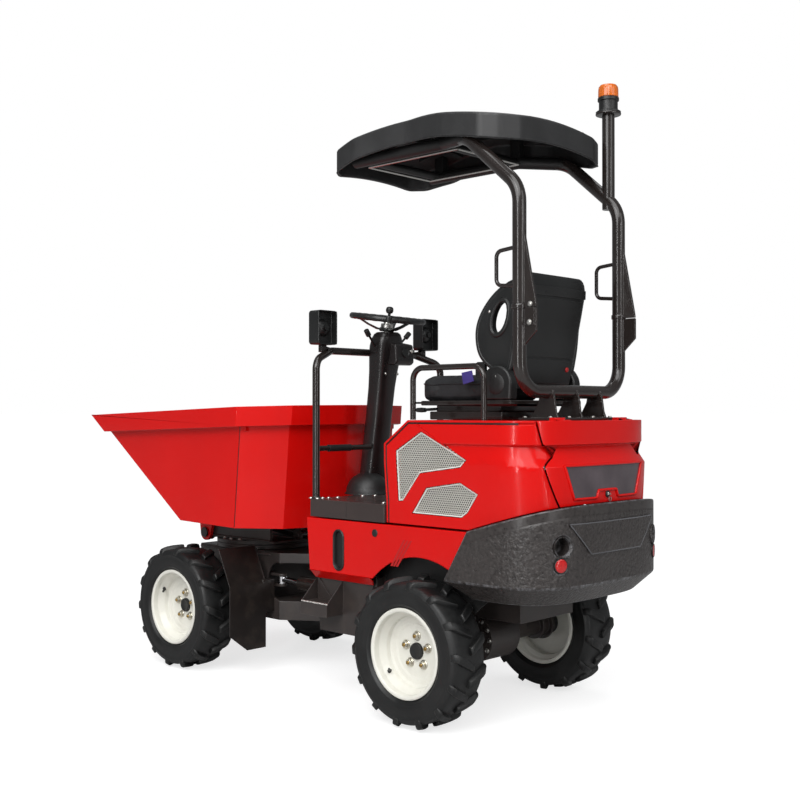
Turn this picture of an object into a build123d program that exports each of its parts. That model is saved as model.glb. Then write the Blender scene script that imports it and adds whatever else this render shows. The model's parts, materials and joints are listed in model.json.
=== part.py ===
"""Articulated site dumper with a swivelling tipping hopper, built as separate pieces.

Millimetres. X points forward, Y to the left, Z up, and the ground is z = 0. Every piece is drawn in
its place at rest with x = 0 midway between the axles, and is moved back by MIDDLE_X when it is written,
so that the finished machine has its origin on the ground at the middle of its length.
"""
import math
import os
from functools import lru_cache

from build123d import *

# Middle of the whole machine, ahead of the midpoint between its axles
MIDDLE_X = 46

# Wheels and axles
WHEELBASE = 1782
TRACK = 1024
TYRE_R = 343
TYRE_HALF_W = 108
LUG_COUNT = 28
LUG_H = 22
LUG_W = 40
LUG_SLANT = 0.53
LUG_FLAT = 2.2
RIM_HALF_W = 89
BEAD_R = 190.5
FLANGE_R = 207
RIM_WALL = 6
DISC_T = 10
STUD_PCD = 139.7
STUD_COUNT = 5
HUB_HOLE_R = 38.5
SPINDLE_R = 30
RUNNING_FIT = 0.1
FIT_GAP = 0.3
AXLE_TUBE_R = 50

# Articulation between the two frames
PIVOT_X = 200
PIVOT_PIN_R = 30
ARM_LOW = (285, 390)
ARM_HIGH = (600, 655)
STEER_Z = 500
STEER_REAR = (-70, 240)
STEER_FRONT = (420, 200)
STEER_EAR_R = 26
GUARD_GAP = 112

# Slewing turntable and tipping hopper
SLEW_X = 800
RING_R = 290
RING_BORE_R = 230
TIP_X = 1030
TIP_Z = 727
TIP_PIN_R = 20
BEAM_Y = (230, 250)
RAM_BASE = (480, 735)
RAM_EYE = (930, 790)
HOPPER_HALF_W = 577
HOPPER_RIM_OUT = 45
HOPPER_RIM_H = 105
HOPPER_WALL = 6
HOPPER_REAR_X = 0
HOPPER_FRONT_X = 1720
HOPPER_TOP = (1475, 1418)
HOPPER_FLOOR = 812

# Bodywork
BODY_HALF_W = 500
PANEL_T = 5
SILL_Z = (642, 905)
SILL_FOLD = 43
DECK_X = (-144, -667)
DECK_Z = (912, 1000)
COVER_X = -669
COVER_EDGE = 10
COVER_GAP = 8
COVER_LIP = 20
SLOPE_Z = 1289
SLOPE_NORMAL = (0.584, 0.812)
BODY_TOP = 1400
# Height, growth of the sides and depth of the rounded rear
PLAIN_LEVELS = ((905, -14, 345), (1020, -12, 350), (1200, 4, 352), (BODY_TOP, 6, 330))
BELT_LEVELS = (
    (905, -14, 345), (1020, -12, 350), (1200, 4, 352), (1240, -1, 318), (1288, -6, 300), (1296, 6, 330),
    (BODY_TOP, 6, 330),
)
BELT_START = (-850, 0, BODY_TOP)
BELT_DIR = Vector(0.496, 0, -0.868)
REAR_CENTRE = -1230
CW_HALF_W = 530
CW_CENTRE = -1200
CW_DEPTH = 428
CORNER_POWER = 3.6
TIE_Y = 361
TIE_Z = 862
TIE_HOLE_R = 37.5
TIE_HOLE_DEPTH = 70
LAMP_Y = 372
LAMP_Z = 784
LAMP_R = 33
BONNET_SPLIT_X = -1500
WINDOW_Z = (1057, 1205)
WINDOW_HALF_W = (246, 306)
NOTCH_Z = 1090
NOTCH_HALF_W = (85, 70)
BONNET_HINGE = (BONNET_SPLIT_X + 3, 1405)
HINGE_Y = 250

# Operator station
POST_X = -160
POST_Y = 474
RAIL_R = 19
WHEEL_TILT = 8
WHEEL_POS = (-205, 0, 1935)
ROPS_X = -1390
ROPS_Y = 395
ROPS_R = 31
ROPS_SPLIT = 1891
ROPS_BASE_Z = 1530
CANOPY_APEX = (-700, 2878)
CANOPY_BEND = 2200
CANOPY_RIM = 113
CANOPY_T = 6
BAR_Z = 2716
BAR_Y = 290
BEACON_BASE = 2905
BEACON_TOP = 3047

SPAN = 5000


def block(x0, x1, y0, y1, z0, z1):
    return Pos((x0 + x1) / 2, (y0 + y1) / 2, (z0 + z1) / 2) * Box(abs(x1 - x0), abs(y1 - y0), abs(z1 - z0))


def plate(outline, axis, low, high):
    """Flat piece with an outline in the two other axes, from low to high along the named axis."""
    place = {"x": lambda a, b: (low, a, b), "y": lambda a, b: (a, low, b), "z": lambda a, b: (a, b, low)}[axis]
    push = {"x": (1, 0, 0), "y": (0, 1, 0), "z": (0, 0, 1)}[axis]
    face = make_face(Polyline(*[place(a, b) for a, b in outline], close=True))
    return extrude(face, amount=high - low, dir=push)


def rod(start, end, radius):
    """Round bar from one point to another."""
    axis = Vector(*end) - Vector(*start)
    bar = Cylinder(radius, axis.length, align=(Align.CENTER, Align.CENTER, Align.MIN))
    return Plane(origin=start, z_dir=axis) * bar


def ring(start, end, outer, inner):
    return rod(start, end, outer) - rod(start, end, inner)


def bent_tube(points, radius, bends):
    path = FilletPolyline(*points, radius=bends)
    return sweep(Plane(path @ 0, z_dir=path % 0) * Circle(radius), path=path)


def trim(shape, point, normal):
    """Removes everything on the side the normal points to."""
    return shape - Plane(origin=point, z_dir=normal) * Pos(0, 0, SPAN / 2) * Box(SPAN, SPAN, SPAN)


def mirrored(shape):
    return mirror(shape, about=Plane.XZ)


def both(shape):
    return Part() + [shape, mirrored(shape)]


def group(*pieces):
    """Separate solids kept together as one piece."""
    return Compound([solid for piece in pieces for solid in piece.solids()])


def superellipse(half_w, depth, centre, count=9):
    """Points around the rounded rear end, from the left side to the right side."""
    points = []
    for i in range(2 * count + 1):
        t = math.pi / 2 * (1 - i / count)
        x = centre - depth * abs(math.cos(t)) ** (2 / CORNER_POWER)
        y = half_w * math.copysign(abs(math.sin(t)) ** (2 / CORNER_POWER), math.sin(t))
        points.append((x, y))
    return points


def rear_outline(half_w, depth, centre, front, z):
    """Plan of the body at one height: straight sides and a rounded rear."""
    points = [(x, y, z) for x, y in superellipse(half_w, depth, centre)]
    curve = Spline(*points, tangents=((-1, 0, 0), (1, 0, 0)))
    sides = Polyline(points[-1], (front, -half_w, z), (front, half_w, z), points[0])
    return make_face([curve, *sides.edges()])


def stacked_body(levels, grow):
    shell = Part()
    for pair in zip(levels, levels[1:]):
        faces = [rear_outline(BODY_HALF_W + g + grow, depth + grow, REAR_CENTRE, -500, z) for z, g, depth in pair]
        shell += loft(faces, ruled=True)
    return shell


@lru_cache(maxsize=None)
def body_solid(grow):
    """The rounded upper body, grown or shrunk all round: flat at the front, with a belt round the rear."""
    front = trim(stacked_body(PLAIN_LEVELS, grow), BELT_START, -BELT_DIR)
    rear = trim(stacked_body(BELT_LEVELS, grow), BELT_START, BELT_DIR)
    return front + rear


def cw_surface(y):
    """Point and outward direction on the rear face of the counterweight at a given y."""
    part = 1 - (abs(y) / CW_HALF_W) ** CORNER_POWER
    dx = CW_DEPTH * part ** (1 / CORNER_POWER)
    gx = -((dx / CW_DEPTH) ** (CORNER_POWER - 1)) / CW_DEPTH
    gy = math.copysign((abs(y) / CW_HALF_W) ** (CORNER_POWER - 1) / CW_HALF_W, y)
    size = math.hypot(gx, gy)
    return CW_CENTRE - dx, (gx / size, gy / size)


# Wheels: written about their own centre with the outer side towards +Y, then set in place.
def lug(angle, side):
    """One tread bar: a slanting block from the shoulder to just past the middle of the tread."""
    out = Vector(math.cos(angle), 0, math.sin(angle))
    along = Vector(-math.sin(angle), 0, math.cos(angle))

    def quad(radius, edge):
        corners = []
        for y, across in ((edge, -1), (edge, 1), (-8, 1), (-8, -1)):
            s = LUG_SLANT * (TYRE_HALF_W / 2 - 8 - y) + across * LUG_W / 2
            corners.append(out * radius + along * s + Vector(0, side * y, 0))
        return make_face(Polyline(*corners, close=True))

    return loft([quad(TYRE_R - 50, TYRE_HALF_W - 1), quad(TYRE_R - LUG_FLAT, TYRE_HALF_W - 13)], ruled=True)


def tyre():
    """Tyre in flat facets with lugs in turn from each shoulder."""
    seat = RIM_HALF_W - FIT_GAP
    bulge = 240
    half = [(TYRE_HALF_W, bulge), (TYRE_HALF_W - 2, 290), (TYRE_HALF_W - 16, TYRE_R - LUG_H)]
    levels = half + [(-y, r) for y, r in reversed(half)]

    def facets(y, radius):
        return Plane(origin=(0, y, 0), x_dir=(1, 0, 0), z_dir=(0, 1, 0)) * RegularPolygon(radius, LUG_COUNT)

    body = Part()
    for (y0, r0), (y1, r1) in zip(levels, levels[1:]):
        body += loft([facets(y0, r0), facets(y1, r1)], ruled=True)
    bore = (BEAD_R + FIT_GAP) / math.cos(math.pi / LUG_COUNT)
    body -= loft([facets(-TYRE_HALF_W - 1, bore), facets(TYRE_HALF_W + 1, bore)], ruled=True)
    for side in (-1, 1):
        recess = [facets(side * seat, FLANGE_R + 4), facets(side * (TYRE_HALF_W + 2), bulge + 4)]
        body -= loft(recess, ruled=True)
    lugs = []
    for i in range(LUG_COUNT):
        angle = 2 * math.pi * i / LUG_COUNT - math.pi / 2
        lugs.append(lug(angle, 1 if i % 2 else -1))
    return body + lugs


def rim():
    outer = [
        (-RIM_HALF_W, FLANGE_R), (-RIM_HALF_W, BEAD_R), (-70, BEAD_R), (-50, 172), (30, 172), (60, BEAD_R),
        (RIM_HALF_W, BEAD_R), (RIM_HALF_W, FLANGE_R),
    ]
    wall = RIM_WALL
    inner = [
        (RIM_HALF_W + wall, FLANGE_R), (RIM_HALF_W + wall, BEAD_R - wall), (62, BEAD_R - wall), (32, 172 - wall),
        (-52, 172 - wall), (-72, BEAD_R - wall), (-RIM_HALF_W - wall, BEAD_R - wall), (-RIM_HALF_W - wall, FLANGE_R),
    ]
    face = make_face(Polyline(*[(r, y, 0) for y, r in outer + inner], close=True))
    body = revolve(face, axis=Axis.Y)
    body += rod((0, -DISC_T, 0), (0, 0, 0), 172 - wall / 2)
    body -= rod((0, -DISC_T - 1, 0), (0, 1, 0), HUB_HOLE_R)
    body += ring((0, -64, 0), (0, -4, 0), 62, SPINDLE_R + RUNNING_FIT)
    for i in range(STUD_COUNT):
        a = 2 * math.pi * i / STUD_COUNT + math.pi / 2
        x = STUD_PCD / 2 * math.cos(a)
        z = STUD_PCD / 2 * math.sin(a)
        body += rod((x, -2, z), (x, 16, z), 13)
    return body


def axle(x):
    """Beam axle with spindles, end caps and mounting pads."""
    half = TRACK / 2
    beam = rod((x, -half + 82, TYRE_R), (x, half - 82, TYRE_R), AXLE_TUBE_R)
    beam += rod((x, -110, TYRE_R), (x, 110, TYRE_R), 115)
    for side in (-1, 1):
        def along(y):
            return (x, side * (half + y), TYRE_R)
        beam += rod(along(-84), along(-66), 80)
        beam += rod(along(-150), along(-134), 72)
        beam += rod(along(-136), along(-82), 58)
        beam += rod(along(-70), along(0), SPINDLE_R)
        beam += rod(along(-3.5), along(12), HUB_HOLE_R - 2.5)
        beam += block(x - 50, x + 50, side * 150, side * 250, TYRE_R, 470 - FIT_GAP)
    return beam


# Rear frame
def rear_chassis():
    frame = block(-150, -130, -330, 330, 390, 640)
    frame += block(-1250, -1230, -206, 206, 470, 640)
    frame += block(-131, PIVOT_X - 20, -55, 55, 430, 560)
    low = ARM_LOW[1] + 1
    high = ARM_HIGH[0] - 1
    frame += rod((PIVOT_X, 0, low), (PIVOT_X, 0, high), 70)
    frame -= rod((PIVOT_X, 0, low - 1), (PIVOT_X, 0, high + 1), PIVOT_PIN_R + RUNNING_FIT)
    for side in (-1, 1):
        frame += block(-1231, -149, side * 190, side * 206, 470, 640)
        frame += block(-320, -280, side * 205, side * (440 - FIT_GAP), 560, 620)
        frame += block(-560, -520, side * 205, side * (440 - FIT_GAP), 590, 635)
        x, y = STEER_REAR
        for z0, z1 in ((STEER_Z - 41, STEER_Z - 26), (STEER_Z + 26, STEER_Z + 41)):
            frame += block(-131, x + 5, side * (y - 32), side * (y + 32), z0, z1)
            frame += rod((x + 5, side * y, z0), (x + 5, side * y, z1), 32)
        frame += rod((x, side * y, STEER_Z - 46), (x, side * y, STEER_Z + 46), 15)
    return frame


def counterweight():
    low = 600
    bevel = 85
    faces = [
        rear_outline(CW_HALF_W - g, CW_DEPTH - g, CW_CENTRE, -900, z)
        for z, g in ((low, bevel), (low + bevel, 0), (low + 500, 0))
    ]
    body = loft(faces[:2], ruled=True) + loft(faces[1:], ruled=True)
    body = trim(body, (-1197, 0, 913), (0.282, 0, 0.959))
    body = trim(body, (-1197, 0, 913), (0.86, 0, 0.51))
    body -= rod((-WHEELBASE / 2, -700, TYRE_R), (-WHEELBASE / 2, 700, TYRE_R), TYRE_R + 32)
    body -= block(-1250 - FIT_GAP, -900, -420, 420, low - 10, 1200)
    body -= block(-1420, -1240, -420, 420, 860, 1200)
    for side in (-1, 1):
        x, (nx, ny) = cw_surface(side * TIE_Y)
        face = (x - 4 * nx, side * TIE_Y - 4 * ny, TIE_Z)
        deep = (face[0] - TIE_HOLE_DEPTH * nx, face[1] - TIE_HOLE_DEPTH * ny, TIE_Z)
        out = (face[0] + 60 * nx, face[1] + 60 * ny, TIE_Z)
        body -= rod(face, out, TIE_HOLE_R + 9)
        body -= rod(deep, face, TIE_HOLE_R)
        body -= tail_lamp(side, -10, 40, LAMP_R)
    return body


def tail_lamp(side, low, high, radius):
    """Round bar square to the counterweight's face at one lamp, from low to high measured off that face."""
    x, (nx, ny) = cw_surface(side * LAMP_Y)
    ends = [(x + d * nx, side * LAMP_Y + d * ny, LAMP_Z) for d in (low, high)]
    return rod(*ends, radius)


def tail_lamps():
    return group(*[tail_lamp(side, FIT_GAP - 10, 6, LAMP_R - FIT_GAP) for side in (-1, 1)])


GRILLE_UPPER = ((-746, 1257), (-906, 1348), (-1175, 1224), (-1141, 1190), (-895, 1155), (-776, 1022), (-746, 1018))
GRILLE_LOWER = ((-831, 967), (-928, 1091), (-1134, 1123), (-1234, 1075), (-1168, 988), (-1134, 965))


def body_skin(outer, inner):
    """Skin of the upper body between two growths, above the sill and the counterweight."""
    shell = body_solid(outer) - body_solid(inner)
    shell = trim(shell, (-1197, 0, 921), (-0.282, 0, -0.959))
    return trim(shell, (0, 0, 914), (0, 0, -1))


def front_profile(inset):
    """Block with the side view of the body ahead of the bonnet, drawn in from its front, slope and top."""
    nx, nz = SLOPE_NORMAL
    front = COVER_X - inset
    top = BODY_TOP - inset
    low_knee = SLOPE_Z - inset * (1 - nx) / nz
    high_knee = COVER_X - (inset + nz * (top - SLOPE_Z)) / nx
    back = BONNET_SPLIT_X - 200
    return plate(((front, 914), (front, low_knee), (high_knee, top), (back, top), (back, 914)), "y", -700, 700)


SPLIT_POINT = Vector(BONNET_SPLIT_X, 0, BODY_TOP)
SPLIT_NORMAL = Vector(0.989, 0, -0.146)


def side_panels():
    shell = body_skin(0, -PANEL_T) & front_profile(COVER_EDGE + COVER_GAP)
    shell = trim(shell, SPLIT_POINT + Vector(6, 0, 0), -SPLIT_NORMAL)
    panels = []
    for side in (-1, 1):
        panel = trim(shell, (0, side * 20, 0), (0, -side, 0))
        for outline in (GRILLE_UPPER, GRILLE_LOWER):
            panel -= plate(outline, "y", side * (BODY_HALF_W + 20), side * (BODY_HALF_W - 40))
        panels.append(panel)
    return panels


def side_grilles():
    pieces = []
    skin = body_solid(-PANEL_T - FIT_GAP) - body_solid(-PANEL_T - 3)
    for side in (-1, 1):
        for outline in (GRILLE_UPPER, GRILLE_LOWER):
            face = make_face(Polyline(*[(x, 0, z) for x, z in outline], close=True))
            grown = offset(face, amount=8)
            mesh = extrude(grown, amount=BODY_HALF_W, dir=(0, side, 0)).translate((0, side * 300, 0))
            pieces.append(mesh & skin)
    return group(*pieces)


def engine_cover():
    """Front wall, slope and seat deck in one bent sheet, with a folded edge and a lip behind the side panels."""
    back = BONNET_SPLIT_X + 6
    top = BODY_TOP
    whole = front_profile(0)
    sheet = (whole - front_profile(PANEL_T)) & body_solid(0)
    sheet += (whole - front_profile(COVER_EDGE)) & body_skin(0, -PANEL_T)
    lip = -PANEL_T - FIT_GAP
    sheet += (whole - front_profile(COVER_EDGE + COVER_GAP + COVER_LIP)) & body_skin(lip, lip - 3)
    sheet = trim(sheet, (back, 0, 0), (-1, 0, 0))
    x, z = BONNET_HINGE
    for side in (-1, 1):
        sheet += block(COVER_X - PANEL_T, COVER_X, side * 190, side * 206, 640 + FIT_GAP, 915)
        sheet -= block(back - 1, back + 10, side * (HINGE_Y - 29), side * (HINGE_Y + 29), top - 20, top + 1)
        for ear in (-33, 33):
            y = side * HINGE_Y + ear
            sheet += block(x - 7, back + 25, y - 3, y + 3, top - 0.5, z + 8)
        sheet += rod((x, side * HINGE_Y - 33, z), (x, side * HINGE_Y + 33, z), 4)
    return sheet


def engine_block():
    return block(-1180, -760, -240, 240, 640 + FIT_GAP, 1150)


def deck():
    x1, x0 = DECK_X
    z0, z1 = DECK_Z
    box = block(x0, x1, -BODY_HALF_W, BODY_HALF_W, z0, z1)
    box -= block(x0 + PANEL_T, x1 - PANEL_T, -BODY_HALF_W + PANEL_T, BODY_HALF_W - PANEL_T, z0 - 1, z1 - PANEL_T)
    for side in (-1, 1):
        box += block(x0, x1, side * 195, side * 205, 640 + FIT_GAP, z1 - PANEL_T + 1)
    box += block(x1 - 6, x1 + 115, -90, 90, z1 - 30, z1)
    return box


def sill(side):
    outline = ((-118, SILL_Z[1]), (-1184, SILL_Z[1]), (-1028, SILL_Z[0]), (-140, SILL_Z[0]))
    outer = plate(outline, "y", 410, BODY_HALF_W)
    inner = plate(((-124, SILL_Z[1] - 5), (-1174, SILL_Z[1] - 5), (-1018, SILL_Z[0] - 5), (-145, SILL_Z[0] - 5)),
                  "y", 405, BODY_HALF_W - PANEL_T)
    shell = outer - inner
    edge, low = BODY_HALF_W, SILL_Z[0]
    fold = ((edge, low + 1), (edge - SILL_FOLD, low - SILL_FOLD), (edge - SILL_FOLD - 7, low - SILL_FOLD),
            (edge - PANEL_T - 2, low + 1))
    shell += plate(fold, "x", -570, -141)
    shell += block(-560, -160, 205 + FIT_GAP, 411, SILL_Z[1] - 30, SILL_Z[1])
    shell -= rod((-WHEELBASE / 2, 300, TYRE_R), (-WHEELBASE / 2, 600, TYRE_R), 425)
    return shell if side > 0 else mirrored(shell)


def steps():
    skirt = plate(((-137, 641), (-560, 641), (-440, 335), (-160, 335)), "y", 440, 446)
    tread = block(-137, -329, 445, 556, 482, 490)
    tread += block(-137, -329, 550, 556, 427, 490)
    for x in (-140, -329):
        tread += plate(((445, 600), (445, 430), (556, 430), (556, 490)), "x", x, x + 4)
    return group(both(skirt + tread))


def steering_column():
    levels = ((1000 + FIT_GAP, -88, 112, 150), (1230, -112, 112, 138), (1571, -160, 112, 138), (1790, -192, 130, 176),
              (1862, -203, 96, 120))
    faces = [Pos(x, 0, z) * RectangleRounded(depth, width, 30) for z, x, depth, width in levels]
    body = loft(faces, ruled=True)
    tilt = math.radians(WHEEL_TILT)
    x, y, z = WHEEL_POS
    low = (x + 80 * math.sin(tilt), 0, z - 80 * math.cos(tilt))
    high = (x + 20 * math.sin(tilt), 0, z - 20 * math.cos(tilt))
    return body + rod(low, high, 13)


def steering_wheel():
    wheel = revolve(Pos(190, 0, 0) * (Plane.XZ * Circle(14)), axis=Axis.Z)
    knob_x, knob_y = -136, 131
    wheel += block(knob_x - 7, knob_x + 7, knob_y - 7, knob_y + 7, -8, 30)
    wheel += rod((knob_x, knob_y, 28), (knob_x, knob_y, 66), 20)
    for i in range(3):
        a = 2 * math.pi * i / 3 + math.pi
        wheel += rod((25 * math.cos(a), 25 * math.sin(a), -34), (186 * math.cos(a), 186 * math.sin(a), 0), 9)
    wheel += Pos(0, 0, -38) * Cylinder(36, 34)
    wheel -= Pos(0, 0, -50) * Cylinder(13 + RUNNING_FIT, 62)
    tilt = math.radians(WHEEL_TILT)
    ahead = (math.cos(tilt), 0, math.sin(tilt))
    return Plane(origin=WHEEL_POS, x_dir=ahead, z_dir=(-math.sin(tilt), 0, math.cos(tilt))) * wheel


def control_levers():
    levers = []
    for side in (-1, 1):
        stem = rod((-192, side * 76, 1776), (-205, side * 150, 1850), 6) - steering_column()
        levers.append(stem + rod((-203, side * 140, 1838), (-208, side * 166, 1866), 14))
    return group(*levers)


def handrail():
    z = DECK_Z[1] + FIT_GAP
    points = [(POST_X, POST_Y, z), (POST_X, POST_Y, 1700), (-100, 318, 1755), (-100, -318, 1755),
              (POST_X, -POST_Y, 1700), (POST_X, -POST_Y, z)]
    rail = bent_tube(points, RAIL_R, [70, 70, 70, 70])
    for side in (-1, 1):
        rail += rod((POST_X, side * POST_Y, z), (POST_X, side * POST_Y, z + 10), 24)
        rail += rod((POST_X, side * POST_Y, 1252), (POST_X, side * 88, 1252), 14)
        rail += block(-118, -92, side * 380 - 18, side * 380 + 18, 1745, 1782)
        rail += rod((-100, side * 300, 1755), (-105, side * 380, 1770), 12)
    return rail


def headlamps():
    lamps = []
    for side in (-1, 1):
        y = side * 392
        lamp = block(-160, -85, y - 66, y + 66, 1782 + FIT_GAP, 1958)
        lamp = fillet(lamp.edges().filter_by(Axis.X), 18)
        lamp -= block(-170, -120, y - 60, y + 60, 1788, 1952)
        lamps.append(lamp)
    return group(*lamps)


def seat_base():
    top = BODY_TOP + FIT_GAP
    base = block(-1150, -700, -215, 215, top, 1440)
    base += block(-1120, -730, -190, 190, 1439, 1470)
    base += block(-1240, -650, -225, 225, 1469, 1492)
    for side in (-1, 1):
        base += block(-1250, -1080, side * 224, side * 280, 1470, 1492)
    return base


def seat_cushion():
    pad = block(-1070, -622, -220, 220, 1492 + FIT_GAP, 1592)
    return fillet(pad.edges().filter_by(Axis.Z), 40)


SHELL_FOOT = (-1190, 1560)
SHELL_HEAD = (-1262, 2040)


def seat_shell():
    """Moulded back of the seat with looped side wings and round covers over its pivots."""
    outline = (SHELL_FOOT, (-1235, 1545), (-1305, 2030), (-1297, 2062), (-1270, 2078), SHELL_HEAD)
    shell = plate(outline, "y", -254, 254)
    for side in (-1, 1):
        shell = trim(shell, (0, side * 254, 1960), (0, side * 0.993, -0.115))
        wing = plate(((-1268, 2020), (-1185, 2010), (-1120, 1965), (-1066, 1905), (-1034, 1840), (-1028, 1775),
                      (-1045, 1712), (-1085, 1665), (-1140, 1630), (-1205, 1620), (-1225, 1660), (-1244, 1780)),
                     "y", *sorted((side * 222, side * 250)))
        hole = Plane(origin=(-1166, 0, 1872), x_dir=(-0.34, 0, 0.94), z_dir=(0, 1, 0)) * Ellipse(74, 38)
        wing -= extrude(hole, amount=400, both=True)
        cover = plate(((-1245, 1492 + FIT_GAP), (-1085, 1492 + FIT_GAP), (-1078, 1560), (-1096, 1618), (-1140, 1652),
                       (-1190, 1652), (-1230, 1620), (-1248, 1560)), "y", *sorted((side * 222, side * 278)))
        shell += fillet(wing.edges().filter_by(Axis.Y).group_by(Axis.X)[-1], 10) + cover
    return shell


def seat_back():
    x0, z0 = SHELL_FOOT
    x1, z1 = SHELL_HEAD
    gap = 2 * FIT_GAP
    outline = ((x0 + gap, z0 + 12), (x1 + gap, z1 + 12), (-1236, 2062), (-1196, 2050), (-1150, 1960), (-1112, 1720),
               (-1085, 1600), (-1110, 1572))
    pad = plate(outline, "y", -222 + FIT_GAP, 222 - FIT_GAP)
    return pad


def seat_rails():
    z = BODY_TOP + FIT_GAP
    rails = []
    for side in (-1, 1):
        y = side * 360
        rails.append(bent_tube([(-724, y, z), (-724, y, 1647), (-1162, y, 1647), (-1162, y, z)], 14, [60, 60]))
    return group(*rails)


def rops_lower():
    x, y, r = ROPS_X, ROPS_Y, ROPS_R
    z = ROPS_BASE_Z
    hoop = bent_tube([(x, y, ROPS_SPLIT - FIT_GAP), (x, y, z), (x, -y, z), (x, -y, ROPS_SPLIT - FIT_GAP)], r, [130, 130])
    hoop += block(x - 68, x + 110, -262, 262, BODY_TOP + FIT_GAP, 1412)
    for rib in (-190, 0, 190):
        hoop += plate(((x + 105, 1411), (x - 62, 1411), (x - 50, 1440), (x - 36, z + 5), (x + 36, z + 5), (x + 48, 1480),
                       (x + 72, 1438)), "y", rib - 6, rib + 6)
    for side in (-1, 1):
        y0, y1 = side * (y - 6), side * (y + 6)
        outline = ((-1400, 1887), (-1485, 1887), (-1485, 1791), (-1420, 1729), (-1400, 1729))
        hoop += plate(outline, "y", min(y0, y1), max(y0, y1))
        hoop += block(-1478, -1428, side * (y + 5), side * (y + 14), 1815, ROPS_SPLIT - FIT_GAP)
    return hoop


def rops_upper():
    x, y, r = ROPS_X, ROPS_Y, ROPS_R
    frame = Part()
    for side in (-1, 1):
        s = side * y
        bar = side * BAR_Y
        frame += bent_tube([(x, s, ROPS_SPLIT), (x, s, 2425), (-1090, s, 2690), (-860, bar, BAR_Z),
                            (-260, bar, BAR_Z)], r, [150, 150, 60])
        for pad in (-330, -850):
            frame += block(pad - 30, pad + 30, bar - 20, bar + 20, BAR_Z, BAR_Z + 300) & dome(CANOPY_T + FIT_GAP)
        frame += plate(((-1400, 1892), (-1484, 1892), (-1480, 1920), (-1418, 2229), (-1400, 2229)), "y",
                       min(s - 6, s + 6), max(s - 6, s + 6))
        frame += bent_tube([(x + 20, s, 2160), (-1262, s, 2150), (-1262, s, 2000), (x + 20, s, 1990)], 9, [30, 30])
    for cross in (-330, -850):
        frame += rod((cross, -BAR_Y, BAR_Z), (cross, BAR_Y, BAR_Z), 22)
    mast = (-1333, -y)
    frame += rod((*mast, 2480), (*mast, BEACON_BASE - 9), 16)
    frame += rod((*mast, BEACON_BASE - 10), (*mast, BEACON_BASE), 62)
    return frame


def dome(drop):
    """Ball that bounds the roof from above, drawn in by drop."""
    x, z = CANOPY_APEX
    return Pos(x, 0, z - CANOPY_BEND) * Sphere(CANOPY_BEND - drop)


def canopy_plan(inset):
    """Upright block with the roof's waisted plan, drawn in by inset."""
    half = [(-112, 270), (-170, 345), (-330, 385), (-680, 345), (-960, 436), (-1200, 448), (-1278, 392), (-1318, 290)]
    bends = [70, 70, 120, 160, 160, 60, 60, 70]
    centre = (half[0][0] + half[-1][0]) / 2
    sx = 1 - inset / (half[0][0] - centre)
    sy = 1 - inset / 440
    half = [(centre + (x - centre) * sx, y * sy) for x, y in half]
    points = half + [(x, -y) for x, y in reversed(half)]
    curve = FilletPolyline(*[(x, y, 2500) for x, y in points], radius=bends + bends[::-1], close=True)
    return extrude(make_face(curve), amount=600, dir=(0, 0, 1))


def canopy():
    """Domed roof with an upright rim of even height all round."""
    shell = canopy_plan(0) & dome(0)
    shell -= canopy_plan(CANOPY_T) & dome(CANOPY_T)
    return shell - Pos(0, 0, -CANOPY_RIM) * dome(0)


def beacon():
    x, y = -1333, -ROPS_Y
    base = rod((x, y, BEACON_BASE + FIT_GAP), (x, y, BEACON_BASE + 76), 46)
    lens = rod((x, y, BEACON_BASE + 75), (x, y, BEACON_TOP), 50)
    lens = fillet(lens.edges().group_by(Axis.Z)[-1], 14)
    return base + lens


# Front frame
def front_chassis():
    side_plate = plate(
        ((390, ARM_LOW[0]), (600, ARM_LOW[0]), (690, 470), (1110, 470), (1110, 655), (390, 655), (390, 606),
         (430, 596), (464, 572), (484, 538), (490, 500), (484, 462), (464, 428), (430, 402), (390, 390)), "y", 234, 250)
    frame = Part() + both(side_plate)
    frame += block(389, 1110, -250, 250, 640, 655)
    frame += block(1095, 1110, -235, 235, 470, 655)
    frame += block(520, 536, -235, 235, 286, 641)
    frame += block(700, 1096, -250, 250, 470, 484)
    for low, high in (ARM_LOW, ARM_HIGH):
        frame += plate(((392, -250), (520, -250), (520, 250), (392, 250), (PIVOT_X - 30, 100), (PIVOT_X - 30, -100)),
                       "z", low, high)
        frame += rod((PIVOT_X, 0, low), (PIVOT_X, 0, high), 95)
    frame += rod((PIVOT_X, 0, ARM_LOW[0] - 12), (PIVOT_X, 0, ARM_HIGH[1]), PIVOT_PIN_R)
    x, y = STEER_FRONT
    for side in (-1, 1):
        for z0, z1 in ((STEER_Z - 36, STEER_Z - 21), (STEER_Z + 21, STEER_Z + 36)):
            frame += block(x - 2, 521, side * (y - STEER_EAR_R), side * (y + STEER_EAR_R), z0, z1)
            frame += rod((x, side * y, z0), (x, side * y, z1), STEER_EAR_R)
    frame += ring((SLEW_X, 0, 654), (SLEW_X, 0, 678), RING_R, RING_BORE_R)
    return frame


def mudguards():
    """Bent plates behind the front tyres, carried on the chassis sides."""
    x = WHEELBASE / 2 - TYRE_R - GUARD_GAP - 6
    guard = plate(((x, 140), (x + 6, 140), (x + 6, 490), (x + 106, 690), (x + 100, 692), (x, 492)), "y", 310, 560)
    guard = trim(guard, (0, 560, 230), (0, 0.6, -0.8))
    reach = max(x + 40, 470)
    guard += block(x + 4, reach, 250 + FIT_GAP, 330, 500, 512)
    guard += block(x, x + 6, 250 + FIT_GAP, 330, 330, 512)
    return group(both(guard))


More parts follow.
